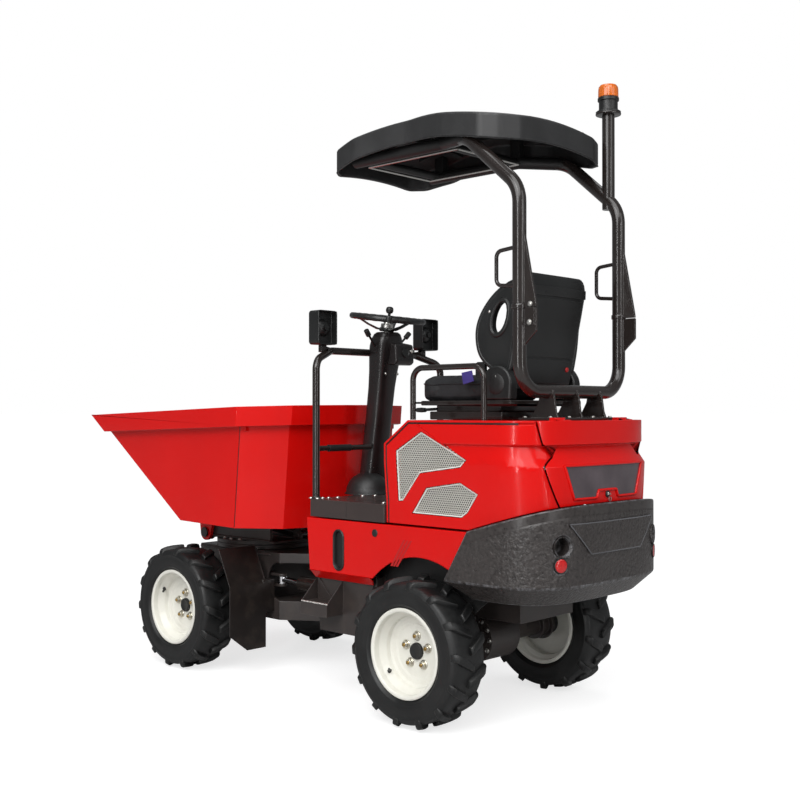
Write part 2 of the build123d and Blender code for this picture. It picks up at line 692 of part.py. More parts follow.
# Turntable
def turntable():
    table = rod((SLEW_X, 0, 679), (SLEW_X, 0, 701), RING_R)
    table += rod((SLEW_X, 0, 660), (SLEW_X, 0, 701), RING_BORE_R - 2 * RUNNING_FIT)
    table += block(440, 1000, -250, 250, 701, 712)
    table -= block(522, 930, -52, 52, 701, 720)
    table -= block(442, 530, -26, 26, 701, 720)
    for side in (-1, 1):
        y0, y1 = sorted((side * BEAM_Y[0], side * BEAM_Y[1]))
        table += plate(((470, 701), (470, 795), (990, 795), (1035, 772), (1035, 690), (960, 701)), "y", y0, y1)
        table += rod((TIP_X, y0, TIP_Z), (TIP_X, y1, TIP_Z), 45)
        table += rod((TIP_X, side * (BEAM_Y[0] - 4), TIP_Z), (TIP_X, side * 284, TIP_Z), TIP_PIN_R)
        table += rod((TIP_X, side * 278, TIP_Z), (TIP_X, side * 288, TIP_Z), 30)
        x, z = RAM_BASE
        table += block(x - 34, x + 34, side * 26, side * 40, 711, z)
        table += rod((x, side * 26, z), (x, side * 40, z), 34)
    table += rod((RAM_BASE[0], -44, RAM_BASE[1]), (RAM_BASE[0], 44, RAM_BASE[1]), 15)
    return table


# Hopper
def hopper_planes(grow):
    """Points and outward directions of the hopper's flat sides, moved outward by grow."""
    drop = HOPPER_TOP[0] - HOPPER_FLOOR
    lean = 60
    edge = HOPPER_RIM_OUT
    corners = ((315, HOPPER_HALF_W), (128, 395), (HOPPER_REAR_X + edge, 100))
    sides = []
    for (xa, ya), (xb, yb) in zip(corners, corners[1:]):
        along = Vector(xb - xa, yb - ya, 0)
        down = Vector(lean, 0, -drop)
        sides.append(((xa, ya, HOPPER_TOP[0]), along.cross(down).normalized()))
    planes = []
    for point, normal in sides:
        out = normal if normal.X < 0 else -normal
        planes.append((Vector(*point), out))
        planes.append((Vector(point[0], -point[1], point[2]), Vector(out.X, -out.Y, out.Z)))
    planes.append((Vector(HOPPER_REAR_X + edge, 0, HOPPER_TOP[0]), Vector(-drop, 0, -lean).normalized()))
    planes.append((Vector(0, HOPPER_HALF_W, 0), Vector(0, 1, 0)))
    planes.append((Vector(0, -HOPPER_HALF_W, 0), Vector(0, -1, 0)))
    return [(point + out * grow, out) for point, out in planes]


FLOOR_PLANE = (Vector(860, 0, 828), Vector(16, 0, -755).normalized())
CHUTE_PLANE = (Vector(860, 0, 828), Vector(590, 0, -862).normalized())
TOP_SLOPE = Vector(HOPPER_TOP[0] - HOPPER_TOP[1], 0, HOPPER_FRONT_X - HOPPER_REAR_X).normalized()


def hopper_solid(grow, under, top, bottom=None):
    shape = Pos(SLEW_X, 0, 1100) * Box(2400, 2000, 1400)
    for point, out in hopper_planes(grow):
        shape = trim(shape, point, out)
    for point, out in (FLOOR_PLANE, CHUTE_PLANE):
        shape = trim(shape, point + out * under, out)
    shape = trim(shape, Vector(HOPPER_REAR_X, 0, HOPPER_TOP[0] + top), TOP_SLOPE)
    if bottom is not None:
        shape = trim(shape, Vector(HOPPER_REAR_X, 0, HOPPER_TOP[0] - bottom), -TOP_SLOPE)
    return shape


def hopper():
    tub = hopper_solid(0, 0, 0)
    tub += hopper_solid(HOPPER_RIM_OUT, 0, 0, HOPPER_RIM_H)
    tub -= hopper_solid(-HOPPER_WALL, -HOPPER_WALL, 300)
    for side in (-1, 1):
        y0, y1 = sorted((side * 254, side * 276))
        lug = plate(((925, 895), (1120, 1028), (1078, 727), (982, 727)), "y", y0, y1)
        lug += rod((TIP_X, y0, TIP_Z), (TIP_X, y1, TIP_Z), 48)
        lug -= rod((TIP_X, y0 - 1, TIP_Z), (TIP_X, y1 + 1, TIP_Z), TIP_PIN_R + RUNNING_FIT)
        y0, y1 = sorted((side * 24, side * 38))
        x, z = RAM_EYE
        lug += plate(((880, 862), (985, 934), (x + 28, z), (x - 28, z)), "y", y0, y1)
        lug += rod((x, y0, z), (x, y1, z), 28)
        lug -= hopper_solid(-HOPPER_WALL / 2, -HOPPER_WALL / 2, 0)
        tub += lug
    return trim(tub, (HOPPER_FRONT_X, 0, 0), (1, 0, 0))


# Bonnet over the engine at the rear
def bonnet():
    shell = trim(body_skin(0, -PANEL_T), SPLIT_POINT, SPLIT_NORMAL)
    lid = block(BONNET_SPLIT_X, -1800, -600, 600, BODY_TOP - PANEL_T, BODY_TOP) & body_solid(-PANEL_T / 2)
    shell += lid
    x, z = BONNET_HINGE
    for side in (-1, 1):
        y0, y1 = side * HINGE_Y - 28, side * HINGE_Y + 28
        shell -= block(x - 23, x + 12, y0 - 12, y1 + 12, BODY_TOP - 20, BODY_TOP + 1)
        shell += block(x - 43, x, y0, y1, BODY_TOP - 0.5, z - 1)
        shell += rod((x, y0, z), (x, y1, z), 8)
        shell -= rod((x, y0 - 1, z), (x, y1 + 1, z), 4 + RUNNING_FIT)
    return shell - window_block(0)


def window_block(gap):
    """Block with the outline of the bonnet's window, drawn in all round by gap."""
    low, high = WINDOW_Z
    half = [
        (WINDOW_HALF_W[1] - 2 * gap, high - gap), (WINDOW_HALF_W[0] - gap, low + gap),
        (NOTCH_HALF_W[0] + gap, low + gap), (NOTCH_HALF_W[1] + gap, NOTCH_Z + gap),
    ]
    return plate(half + [(-y, z) for y, z in reversed(half)], "x", -1800, -1500)


def bonnet_window():
    return window_block(2 * FIT_GAP) & (body_solid(-1) - body_solid(-6))


# Rams: barrels and rods, written along their axis and set in place.
def ram_barrel(start, end, length, radius, rod_r, eye_h, up):
    axis = (Vector(*end) - Vector(*start)).normalized()
    at = lambda d: tuple(Vector(*start) + axis * d)
    lift = Vector(*up)
    barrel = rod(at(0), at(52), eye_h - 3) + rod(at(46), at(length), radius)
    barrel -= rod(at(54), at(length - 14), radius - 8)
    barrel -= rod(at(54), at(length + 1), rod_r + RUNNING_FIT)
    eye = rod(tuple(Vector(*start) - lift * eye_h), tuple(Vector(*start) + lift * eye_h), 28)
    barrel += eye
    barrel -= rod(tuple(Vector(*start) - lift * 60), tuple(Vector(*start) + lift * 60), 15 + RUNNING_FIT)
    return barrel


def ram_rod(start, end, length, rod_r, eye_r, eye_h, up):
    axis = (Vector(*start) - Vector(*end)).normalized()
    lift = Vector(*up)
    stem = rod(end, tuple(Vector(*end) + axis * length), rod_r)
    return stem + rod(tuple(Vector(*end) - lift * eye_h), tuple(Vector(*end) + lift * eye_h), eye_r)


def main():
    os.makedirs("parts", exist_ok=True)
    pieces = {}
    half = WHEELBASE / 2
    tyre_shape = tyre()
    rim_shape = rim()
    for name, x, side in (("fl", half, 1), ("fr", half, -1), ("rl", -half, 1), ("rr", -half, -1)):
        place = Pos(x, side * TRACK / 2, TYRE_R)
        pieces["tyre_" + name] = place * (tyre_shape if side > 0 else mirrored(tyre_shape))
        pieces["rim_" + name] = place * (rim_shape if side > 0 else mirrored(rim_shape))
    pieces["rear_axle"] = axle(-half)
    pieces["front_axle"] = axle(half)
    pieces["rear_chassis"] = rear_chassis()
    pieces["engine_block"] = engine_block()
    pieces["counterweight"] = counterweight()
    pieces["tail_lamps"] = tail_lamps()
    right, left = side_panels()
    pieces["side_panel_left"] = left
    pieces["side_panel_right"] = right
    pieces["side_grilles"] = side_grilles()
    pieces["engine_cover"] = engine_cover()
    pieces["deck"] = deck()
    pieces["sill_left"] = sill(1)
    pieces["sill_right"] = sill(-1)
    pieces["steps"] = steps()
    pieces["steering_column"] = steering_column()
    pieces["steering_wheel"] = steering_wheel()
    pieces["control_levers"] = control_levers()
    pieces["handrail"] = handrail()
    pieces["headlamps"] = headlamps()
    pieces["seat_base"] = seat_base()
    pieces["seat_cushion"] = seat_cushion()
    pieces["seat_back"] = seat_back()
    pieces["seat_shell"] = seat_shell()
    pieces["seat_rails"] = seat_rails()
    pieces["rops_lower"] = rops_lower()
    pieces["rops_upper"] = rops_upper()
    pieces["canopy"] = canopy()
    pieces["beacon"] = beacon()
    pieces["front_chassis"] = front_chassis()
    pieces["mudguards"] = mudguards()
    pieces["turntable_frame"] = turntable()
    pieces["hopper"] = hopper()
    pieces["bonnet"] = bonnet()
    pieces["bonnet_window"] = bonnet_window()
    for name, side in (("left", 1), ("right", -1)):
        base = (STEER_REAR[0], side * STEER_REAR[1], STEER_Z)
        eye = (STEER_FRONT[0], side * STEER_FRONT[1], STEER_Z)
        pieces["steer_barrel_" + name] = ram_barrel(base, eye, 312, 38, 18, 25, (0, 0, 1))
        pieces["steer_rod_" + name] = ram_rod(base, eye, 314, 18, STEER_EAR_R, 20, (0, 0, 1))
    base = (RAM_BASE[0], 0, RAM_BASE[1])
    eye = (RAM_EYE[0], 0, RAM_EYE[1])
    pieces["tip_barrel"] = ram_barrel(base, eye, 360, 34, 17, 25, (0, 1, 0))
    pieces["tip_rod"] = ram_rod(base, eye, 300, 17, 27, 22.5, (0, 1, 0))
    for name, shape in pieces.items():
        export_step(shape.moved(Pos(-MIDDLE_X, 0, 0)), "parts/" + name + ".step")


main()
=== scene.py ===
"""Looks of the articulated site dumper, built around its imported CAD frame."""
import json
import math

import bmesh
import bpy
from mathutils import Matrix, Vector
from mathutils.bvhtree import BVHTree


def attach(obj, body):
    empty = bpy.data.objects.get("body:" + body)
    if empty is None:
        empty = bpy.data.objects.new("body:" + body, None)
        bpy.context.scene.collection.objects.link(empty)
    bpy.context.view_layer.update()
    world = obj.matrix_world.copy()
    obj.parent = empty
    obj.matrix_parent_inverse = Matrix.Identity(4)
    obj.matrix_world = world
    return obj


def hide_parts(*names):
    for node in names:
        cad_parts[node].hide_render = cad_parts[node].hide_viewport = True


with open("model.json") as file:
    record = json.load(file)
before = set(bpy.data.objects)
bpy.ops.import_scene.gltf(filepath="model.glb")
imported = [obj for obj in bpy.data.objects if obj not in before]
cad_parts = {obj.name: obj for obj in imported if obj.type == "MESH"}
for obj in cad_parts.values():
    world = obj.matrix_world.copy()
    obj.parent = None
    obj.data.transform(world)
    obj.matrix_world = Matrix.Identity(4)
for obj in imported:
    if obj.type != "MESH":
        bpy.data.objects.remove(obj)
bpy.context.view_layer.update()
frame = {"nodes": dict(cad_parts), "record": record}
nodes = frame["nodes"]
scene = bpy.context.scene
BODY_OF = {node: body for body, names in frame["record"]["behaviour"]["bodies"].items() for node in names}
SLOT_OF = {entry["node"]: entry["material_slot"] for entry in frame["record"]["subparts"]}

# New shapes are drawn in metres, with x = 0 midway between the axles: MIDDLE behind the frame's origin.
MIDDLE = 0.046
TO_FRAME = Matrix.Translation((-MIDDLE, 0, 0))
SIDES = (1, -1)
FORWARD = (1, 0, 0)
REARWARD = (-1, 0, 0)
LEFT = (0, 1, 0)
UP = (0, 0, 1)

# Camera: the photograph's own eye point and lens.
EYE = Vector((-4.384 - MIDDLE, 4.301, 1.443))
YAW = math.radians(-46.45)
PITCH = math.radians(0.552)
LENS = 50.52


# Material nodes
def new_material(name):
    mat = bpy.data.materials.new(name)
    mat.use_nodes = True
    tree = mat.node_tree
    return mat, tree, tree.nodes["Principled BSDF"]


def add(tree, kind, **values):
    node = tree.nodes.new(kind)
    for key, value in values.items():
        if key in node.inputs:
            node.inputs[key].default_value = value
        else:
            setattr(node, key, value)
    return node


def object_coords(tree, scale=(1, 1, 1), rotation=(0, 0, 0)):
    coords = add(tree, "ShaderNodeTexCoord")
    mapping = add(tree, "ShaderNodeMapping", Scale=scale, Rotation=rotation)
    tree.links.new(coords.outputs["Object"], mapping.inputs["Vector"])
    return mapping.outputs["Vector"]


def noise(tree, vector, scale, detail=4.0, rough=0.55):
    node = add(tree, "ShaderNodeTexNoise", Scale=scale, Detail=detail, Roughness=rough)
    tree.links.new(vector, node.inputs["Vector"])
    return node.outputs["Fac"]


def voronoi(tree, vector, scale, output="Distance", feature="F1"):
    node = add(tree, "ShaderNodeTexVoronoi", Scale=scale, feature=feature)
    tree.links.new(vector, node.inputs["Vector"])
    return node.outputs[output]


def spread(tree, value, low, high, out_low, out_high):
    node = add(tree, "ShaderNodeMapRange", clamp=True)
    for key, number in (("From Min", low), ("From Max", high), ("To Min", out_low), ("To Max", out_high)):
        node.inputs[key].default_value = number
    tree.links.new(value, node.inputs["Value"])
    return node.outputs["Result"]


def mix_colour(tree, factor, first, second):
    node = add(tree, "ShaderNodeMix", data_type="RGBA")
    for key, value in ((0, factor), (6, first), (7, second)):
        if isinstance(value, bpy.types.NodeSocket):
            tree.links.new(value, node.inputs[key])
        else:
            node.inputs[key].default_value = value if key == 0 else (*value, 1)
    return node.outputs[2]


def maths(tree, kind, first, second):
    node = add(tree, "ShaderNodeMath", operation=kind)
    for key, value in ((0, first), (1, second)):
        if isinstance(value, bpy.types.NodeSocket):
            tree.links.new(value, node.inputs[key])
        else:
            node.inputs[key].default_value = value
    return node.outputs[0]


def bump(tree, shader, height, strength, distance, previous=None):
    node = add(tree, "ShaderNodeBump", Strength=strength, Distance=distance)
    tree.links.new(height, node.inputs["Height"])
    if previous is not None:
        tree.links.new(previous, node.inputs["Normal"])
    tree.links.new(node.outputs["Normal"], shader.inputs["Normal"])
    return node.outputs["Normal"]


def worn_edges(tree, base, place, colour, amount):
    """Rubs eased edges through to another colour, in patches."""
    edge = add(tree, "ShaderNodeAttribute", attribute_name="worn").outputs["Fac"]
    patches = spread(tree, noise(tree, place, 38, 5, 0.7), 0.42, 0.66, 0, amount)
    return mix_colour(tree, maths(tree, "MULTIPLY", edge, patches), base, colour)


# Finishes
def paint(name, colour, rough, coat=0.0, dust_amount=0.25, peel=0.02, shade=0.82, wear=0.25, gleam=0.4):
    """Sprayed paint: slight shade drift, orange peel, fine scuffs, rubbed edges and dust near the ground."""
    mat, tree, shader = new_material(name)
    place = object_coords(tree)
    drift = noise(tree, place, 2.3, 3)
    base = mix_colour(tree, spread(tree, drift, 0.3, 0.7, 0, 1), tuple(c * shade for c in colour), colour)
    pale = tuple(min(1, c * 1.5 + 0.04) for c in colour)
    scuff_place = object_coords(tree, scale=(3, 3, 22))
    scuff = spread(tree, noise(tree, scuff_place, 9, 6, 0.7), 0.62, 0.76, 0, 0.07)
    base = mix_colour(tree, scuff, base, pale)
    base = worn_edges(tree, base, place, pale, wear)
    split = add(tree, "ShaderNodeSeparateXYZ")
    tree.links.new(place, split.inputs[0])
    low = spread(tree, split.outputs["Z"], 0.15, 1.1, 1, 0.12)
    grain = spread(tree, noise(tree, place, 11, 8, 0.65), 0.48, 0.72, 0, 1)
    dirt = maths(tree, "MULTIPLY", maths(tree, "MULTIPLY", low, grain), dust_amount)
    base = mix_colour(tree, dirt, base, (0.16, 0.12, 0.09))
    tree.links.new(base, shader.inputs["Base Color"])
    shine = spread(tree, noise(tree, place, 6, 5), 0.3, 0.75, rough * 0.8, rough * 1.3)
    tree.links.new(maths(tree, "ADD", shine, maths(tree, "MULTIPLY", dirt, 0.5)), shader.inputs["Roughness"])
    shader.inputs["Specular IOR Level"].default_value = gleam
    shader.inputs["Coat Weight"].default_value = coat
    shader.inputs["Coat Roughness"].default_value = 0.06
    bump(tree, shader, noise(tree, place, 320, 2), peel, 0.0012)
    return mat


def cast_paint():
    """Thick glossy paint over a rough iron casting, smooth in a band along the slanted top edge."""
    mat, tree, shader = new_material("rough_cast_paint")
    place = object_coords(tree)
    level = add(tree, "ShaderNodeVectorMath", operation="DOT_PRODUCT")
    level.inputs[1].default_value = (0.282, 0, 0.959)
    tree.links.new(place, level.inputs[0])
    top = 0.282 * (-1.197 - MIDDLE) + 0.959 * 0.913
    rough_part = spread(tree, level.outputs["Value"], top - 0.052, top - 0.044, 1, 0)
    lumps = noise(tree, place, 62, 4, 0.55)
    swirls = voronoi(tree, place, 70, feature="SMOOTH_F1")
    base = mix_colour(tree, spread(tree, lumps, 0.35, 0.68, 0, 1),
                      (0.020, 0.0165, 0.0155), (0.042, 0.036, 0.034))
    base = mix_colour(tree, spread(tree, noise(tree, place, 3.1, 4), 0.5, 0.75, 0, 0.3),
                      base, (0.06, 0.053, 0.05))
    base = worn_edges(tree, base, place, (0.15, 0.15, 0.16), 0.8)
    tree.links.new(base, shader.inputs["Base Color"])
    tree.links.new(spread(tree, lumps, 0.3, 0.7, 0.26, 0.42), shader.inputs["Roughness"])
    shader.inputs["Specular IOR Level"].default_value = 0.5
    first = bump(tree, shader, maths(tree, "MULTIPLY", lumps, rough_part), 0.9, 0.006)
    bump(tree, shader, maths(tree, "MULTIPLY", swirls, rough_part), 0.6, 0.004, first)
    return mat


def rubber():
    """Tyre rubber: dull black with a grey bloom, dust and fine grain."""
    mat, tree, shader = new_material("tyre_rubber_black")
    place = object_coords(tree)
    bloom = spread(tree, noise(tree, place, 7, 6, 0.62), 0.42, 0.7, 0, 1)
    base = mix_colour(tree, bloom, (0.0045, 0.0047, 0.0048), (0.0105, 0.0107, 0.0106))
    dusty = spread(tree, noise(tree, place, 21, 7, 0.7), 0.55, 0.78, 0, 0.10)
    base = mix_colour(tree, dusty, base, (0.06, 0.054, 0.047))
    base = worn_edges(tree, base, place, (0.05, 0.048, 0.045), 0.5)
    tree.links.new(base, shader.inputs["Base Color"])
    tree.links.new(spread(tree, bloom, 0, 1, 0.42, 0.66), shader.inputs["Roughness"])
    shader.inputs["Specular IOR Level"].default_value = 0.45
    bump(tree, shader, noise(tree, place, 260, 3), 0.16, 0.001)
    return mat


def plastic(name, colour, rough, grain=420, depth=0.25):
    """Moulded plastic with a fine leathery grain."""
    mat, tree, shader = new_material(name)
    place = object_coords(tree)
    cells = voronoi(tree, place, grain)
    cloud = noise(tree, place, 5, 4)
    dark, light = (tuple(c * k for c in colour) for k in (0.75, 1.2))
    base = mix_colour(tree, spread(tree, cloud, 0.35, 0.7, 0, 1), dark, light)
    base = worn_edges(tree, base, place, tuple(c * 2.2 + 0.01 for c in colour), 0.5)
    tree.links.new(base, shader.inputs["Base Color"])
    tree.links.new(spread(tree, cloud, 0.3, 0.7, rough * 0.85, rough * 1.15), shader.inputs["Roughness"])
    bump(tree, shader, cells, depth, 0.0008)
    return mat


def metal(name, colour, rough, stain=0.0):
    """Plated or drawn metal with fine lines, and stains where asked."""
    mat, tree, shader = new_material(name)
    lines = noise(tree, object_coords(tree, scale=(60, 60, 60)), 6, 5)
    base = mix_colour(tree, spread(tree, lines, 0.3, 0.7, 0, 1), tuple(c * 0.8 for c in colour), colour)
    spots = spread(tree, noise(tree, object_coords(tree), 90, 6, 0.7), 0.5, 0.7, 0, stain)
    base = mix_colour(tree, spots, base, (0.30, 0.19, 0.06))
    tree.links.new(base, shader.inputs["Base Color"])
    tree.links.new(spread(tree, lines, 0.3, 0.7, rough * 0.7, rough * 1.4), shader.inputs["Roughness"])
    shader.inputs["Metallic"].default_value = 1.0
    bump(tree, shader, lines, 0.08, 0.0006)
    return mat


def vinyl():
    """Grained seat vinyl."""
    mat, tree, shader = new_material("seat_vinyl_black")
    place = object_coords(tree)
    cells = voronoi(tree, place, 300, feature="SMOOTH_F1")
    cloud = noise(tree, place, 9, 5)
    base = mix_colour(tree, spread(tree, cloud, 0.35, 0.7, 0, 1),
                      (0.008, 0.008, 0.009), (0.021, 0.021, 0.023))
    tree.links.new(base, shader.inputs["Base Color"])
    tree.links.new(spread(tree, cloud, 0.3, 0.7, 0.38, 0.55), shader.inputs["Roughness"])
    bump(tree, shader, cells, 0.35, 0.0015)
    return mat


def lens(name, colour, glow=0.0):
    """Coloured lens with a fine moulded pattern."""
    mat, tree, shader = new_material(name)
    place = object_coords(tree)
    cells = voronoi(tree, place, 190)
    base = mix_colour(tree, spread(tree, cells, 0.1, 0.6, 0, 1), colour, tuple(c * 0.62 for c in colour))
    tree.links.new(base, shader.inputs["Base Color"])
    tree.links.new(spread(tree, cells, 0, 1, 0.10, 0.22), shader.inputs["Roughness"])
    shader.inputs["Coat Weight"].default_value = 0.5
    shader.inputs["Emission Color"].default_value = (*colour, 1)
    shader.inputs["Emission Strength"].default_value = glow
    bump(tree, shader, cells, 0.15, 0.0015)
    return mat


RED = paint("red_gloss_paint", (0.62, 0.004, 0.003), 0.20, coat=0.12, dust_amount=0.04, peel=0.010,
            shade=0.93, wear=0.12, gleam=0.22)
CREAM = paint("cream_wheel_paint", (0.76, 0.75, 0.68), 0.32, coat=0.3, dust_amount=0.12, peel=0.02,
              shade=0.95, wear=0.1)
FRAME_BROWN = paint("frame_brown_grey_paint", (0.036, 0.029, 0.027), 0.38, coat=0.1, dust_amount=0.14,
                    peel=0.05)
GUARD_BROWN = paint("mudguard_brown_paint", (0.014, 0.0105, 0.0095), 0.38, coat=0.1, dust_amount=0.15,
                    peel=0.05)
DECK_GREY = paint("deck_grey_paint", (0.042, 0.030, 0.028), 0.34, coat=0.1, dust_amount=0.14, peel=0.06)
BAR_BLACK = paint("tube_black_brown_paint", (0.018, 0.0135, 0.012), 0.22, coat=0.5, dust_amount=0.1,
                  peel=0.03)
STRIPE_RED = paint("stripe_dark_red_paint", (0.50, 0.005, 0.005), 0.34, coat=0.2, dust_amount=0.03, peel=0.01)
CAST = cast_paint()
# Pale grey for the line round the counterweight's raised field: a painted highlight.
FIELD_EDGE_HIGHLIGHT = paint("cast_edge_painted_highlight", (0.13, 0.13, 0.14), 0.35, dust_amount=0.1, peel=0.3, shade=0.6)
RUBBER = rubber()
PLASTIC = plastic("black_moulded_plastic", (0.011, 0.0115, 0.0115), 0.36)
COLUMN_PLASTIC = plastic("column_dark_plastic", (0.012, 0.0095, 0.0095), 0.30, grain=520, depth=0.12)
ROOF = plastic("roof_grained_plastic", (0.022, 0.022, 0.0225), 0.46, grain=260, depth=0.4)
# Darker copy of the roof plastic for the parts under the roof: painted shade.
ROOF_SHADED_COPY = plastic("roof_plastic_painted_shade", (0.007, 0.007, 0.007), 0.5, grain=260, depth=0.3)
VINYL = vinyl()
STEEL = metal("zinc_plated_steel", (0.66, 0.65, 0.62), 0.30)
NUT = metal("bright_zinc_nut", (0.70, 0.67, 0.58), 0.28, stain=0.35)
BRASS = metal("yellow_zinc_stud", (0.42, 0.28, 0.10), 0.35, stain=0.6)
CHROME = metal("ram_chrome", (0.75, 0.75, 0.77), 0.10)
MESH = paint("silver_beige_mesh_paint", (0.47, 0.455, 0.41), 0.36, coat=0.2, dust_amount=0.1, peel=0.02,
             shade=0.9)
IRON = paint("engine_grey_paint", (0.05, 0.05, 0.052), 0.5, dust_amount=0.4, peel=0.1)
# The red reflector's faint emission is a painted glow; a reflector is no lamp.
RED_LENS = lens("red_reflector_painted_glow", (0.60, 0.008, 0.008), 0.05)
AMBER = lens("amber_beacon_lens", (0.80, 0.17, 0.012), 0.10)
CLEAR_LENS = lens("lamp_clear_lens", (0.62, 0.64, 0.66))
WINDOW_PANEL = plastic("smoked_panel", (0.085, 0.068, 0.076), 0.12, grain=900, depth=0.02)
# Dark rubber for real seals, grips and caps; also the colour of the dark sheets, lines and patches that are
# painted shade.
DARK_RUBBER_AND_SHADE = plastic("dark_rubber_and_painted_shade", (0.009, 0.009, 0.009), 0.5, grain=700, depth=0.2)
# Silver frame paint made paler than the grille sheet's paint: partly the frames' colour, partly a painted
# highlight along their edges.
FRAME_HIGHLIGHT_PAINT = paint("silver_frame_painted_highlight", (0.70, 0.69, 0.65), 0.25, coat=0.4, dust_amount=0.05, peel=0.02,
                    shade=0.95)
STRAP_VIOLET = plastic("violet_webbing", (0.055, 0.04, 0.24), 0.5, grain=500, depth=0.4)
BUTTON_RED = plastic("red_button_plastic", (0.42, 0.015, 0.015), 0.35, grain=600, depth=0.1)

FINISH = {
    "red_paint": RED, "frame_paint": FRAME_BROWN, "black_paint": BAR_BLACK, "cast_weight": CAST,
    "deck_grey": DECK_GREY, "black_plastic": PLASTIC, "grille_mesh": MESH, "seat_vinyl": VINYL,
    "engine_iron": IRON, "tyre_rubber": RUBBER, "rim_cream": CREAM, "red_lens": RED_LENS,
    "amber_lens": AMBER, "ram_barrel": BAR_BLACK, "ram_rod": CHROME,
}
SPECIAL = {
    "canopy": ROOF, "bonnet_window": WINDOW_PANEL, "mudguards": GUARD_BROWN,
    "steering_column": COLUMN_PLASTIC,
}
for name, obj in nodes.items():
    obj.data.materials.clear()
    obj.data.materials.append(SPECIAL.get(name, FINISH[SLOT_OF[name]]))


# Shapes: a list of points and a list of faces
def prism(outline, axis, low, high):
    """Flat piece with an outline in the two other axes, from low to high along the named axis."""
    order = {"x": (2, 0, 1), "y": (0, 2, 1), "z": (0, 1, 2)}[axis]
    count = len(outline)
    points = [tuple((*spot, level)[k] for k in order) for level in (low, high) for spot in outline]
    faces = [list(range(count)), list(range(2 * count - 1, count - 1, -1))]
    faces += [[i, (i + 1) % count, count + (i + 1) % count, count + i] for i in range(count)]
    return points, faces


def box(x0, x1, y0, y1, z0, z1):
    return prism([(x0, y0), (x1, y0), (x1, y1), (x0, y1)], "z", z0, z1)


def around(count, start=0.0):
    """Even angles round a full turn."""
    return [start + 2 * math.pi * k / count for k in range(count)]


def pairs(loop):
    """Each item of a closed loop with the next one."""
    return list(zip(loop, loop[1:] + loop[:1]))


def lathe(profile, steps=40, closed=False):
    """Turned shape about Z from (radius, height) points."""
    count = len(profile)
    points = []
    faces = []
    for k, a in enumerate(around(steps)):
        points += [(r * math.cos(a), r * math.sin(a), h) for r, h in profile]
        n = (k + 1) % steps
        for i in range(count if closed else count - 1):
            j = (i + 1) % count
            faces.append([k * count + i, n * count + i, n * count + j, k * count + j])
    return points, faces


def skin(loops, wrap=False):
    """Surface through loops of points, closed by its end loops, or by joining the last loop to the first."""
    count = len(loops[0])
    points = [p for loop in loops for p in loop]
    bands = len(loops) if wrap else len(loops) - 1
    faces = []
    for k in range(bands):
        here, there = k * count, (k + 1) % len(loops) * count
        for i in range(count):
            n = (i + 1) % count
            faces.append([here + i, here + n, there + n, there + i])
    if not wrap:
        faces += [list(range(count)), list(range(bands * count, (bands + 1) * count))]
    return points, faces


def tube(path, radius, sides=10, closed=False):
    """Round bar along a path; the radius may be a list, one for each point."""
    path = [Vector(p) for p in path]
    count = len(path)
    radii = radius if isinstance(radius, list) else [radius] * count
    loops = []
    side = None
    for i, point in enumerate(path):
        ahead = path[(i + 1) % count] if closed or i < count - 1 else point
        behind = path[i - 1] if closed or i > 0 else point
        along = (ahead - behind).normalized()
        side = along.orthogonal() if side is None else side - along * side.dot(along)
        side.normalize()
        up = along.cross(side)
        loops.append([point + (side * math.cos(a) + up * math.sin(a)) * radii[i] for a in around(sides)])
    return skin(loops, wrap=closed)


def joined(*shapes):
    points = []
    faces = []
    for more_points, more_faces in shapes:
        base = len(points)
        points += more_points
        faces += [[base + i for i in face] for face in more_faces]
    return points, faces


def moved(shape, matrix):
    return [matrix @ Vector(p) for p in shape[0]], shape[1]


def mirrored(shape):
    return [Vector((p[0], -p[1], p[2])) for p in shape[0]], shape[1]


def both(shape):
    return joined(shape, mirrored(shape))


def facing(place, axis):
    """Turns Z to an axis and moves the origin to a place."""
    return Matrix.Translation(Vector(place)) @ Vector(axis).to_track_quat("Z", "Y").to_matrix().to_4x4()


def arc(centre, radius, start, end, steps):
    """Points of an arc in the plane of an outline, angles in degrees."""
    turns = [math.radians(start + (end - start) * i / steps) for i in range(steps + 1)]
    return [(centre[0] + radius * math.cos(t), centre[1] + radius * math.sin(t)) for t in turns]


def turned(profile, place, axis, steps=28, closed=False):
    """Turned shape on an axis through a place."""
    return moved(lathe(profile, steps, closed), facing(place, axis))


def rounded_ring(x, half_x, half_y, z, power, count):
    """Level ring between an oval and a rectangle: the smaller the power, the squarer."""
    ring = []
    for a in around(count):
        c, d = math.cos(a), math.sin(a)
        across = half_y * math.copysign(abs(d) ** power, d)
        ring.append((x + half_x * math.copysign(abs(c) ** power, c), across, z))
    return ring


def walk(corners, gap, least=1, closed=True):
    """Points along the lines between corners, about a gap apart, with at least so many on each line."""
    path = []
    for a, b in pairs(corners) if closed else zip(corners, corners[1:]):
        a, b = Vector(a), Vector(b)
        run = max(least, round((b - a).length / gap))
        path += [a.lerp(b, i / run) for i in range(run)]
    return path


# Meshes and pieces
def ease(bm, width, segments, angle):
    """Rounds every edge sharper than the angle and marks the new faces as worn."""
    worn = bm.faces.layers.float.new("worn")
    limit = math.radians(angle)
    sharp = [e for e in bm.edges if len(e.link_faces) == 2 and e.calc_face_angle(0) > limit]
    made = bmesh.ops.bevel(bm, geom=sharp, offset=width, offset_type="OFFSET", segments=segments, profile=0.5,
                           affect="EDGES", clamp_overlap=False)
    for face in made["faces"]:
        face[worn] = 1.0


def finished_mesh(bm, name, smooth):
    mesh = bpy.data.meshes.new(name)
    bm.to_mesh(mesh)
    bm.free()
    for poly in mesh.polygons:
        poly.use_smooth = True
    mesh.set_sharp_from_angle(angle=math.radians(smooth))
    return mesh


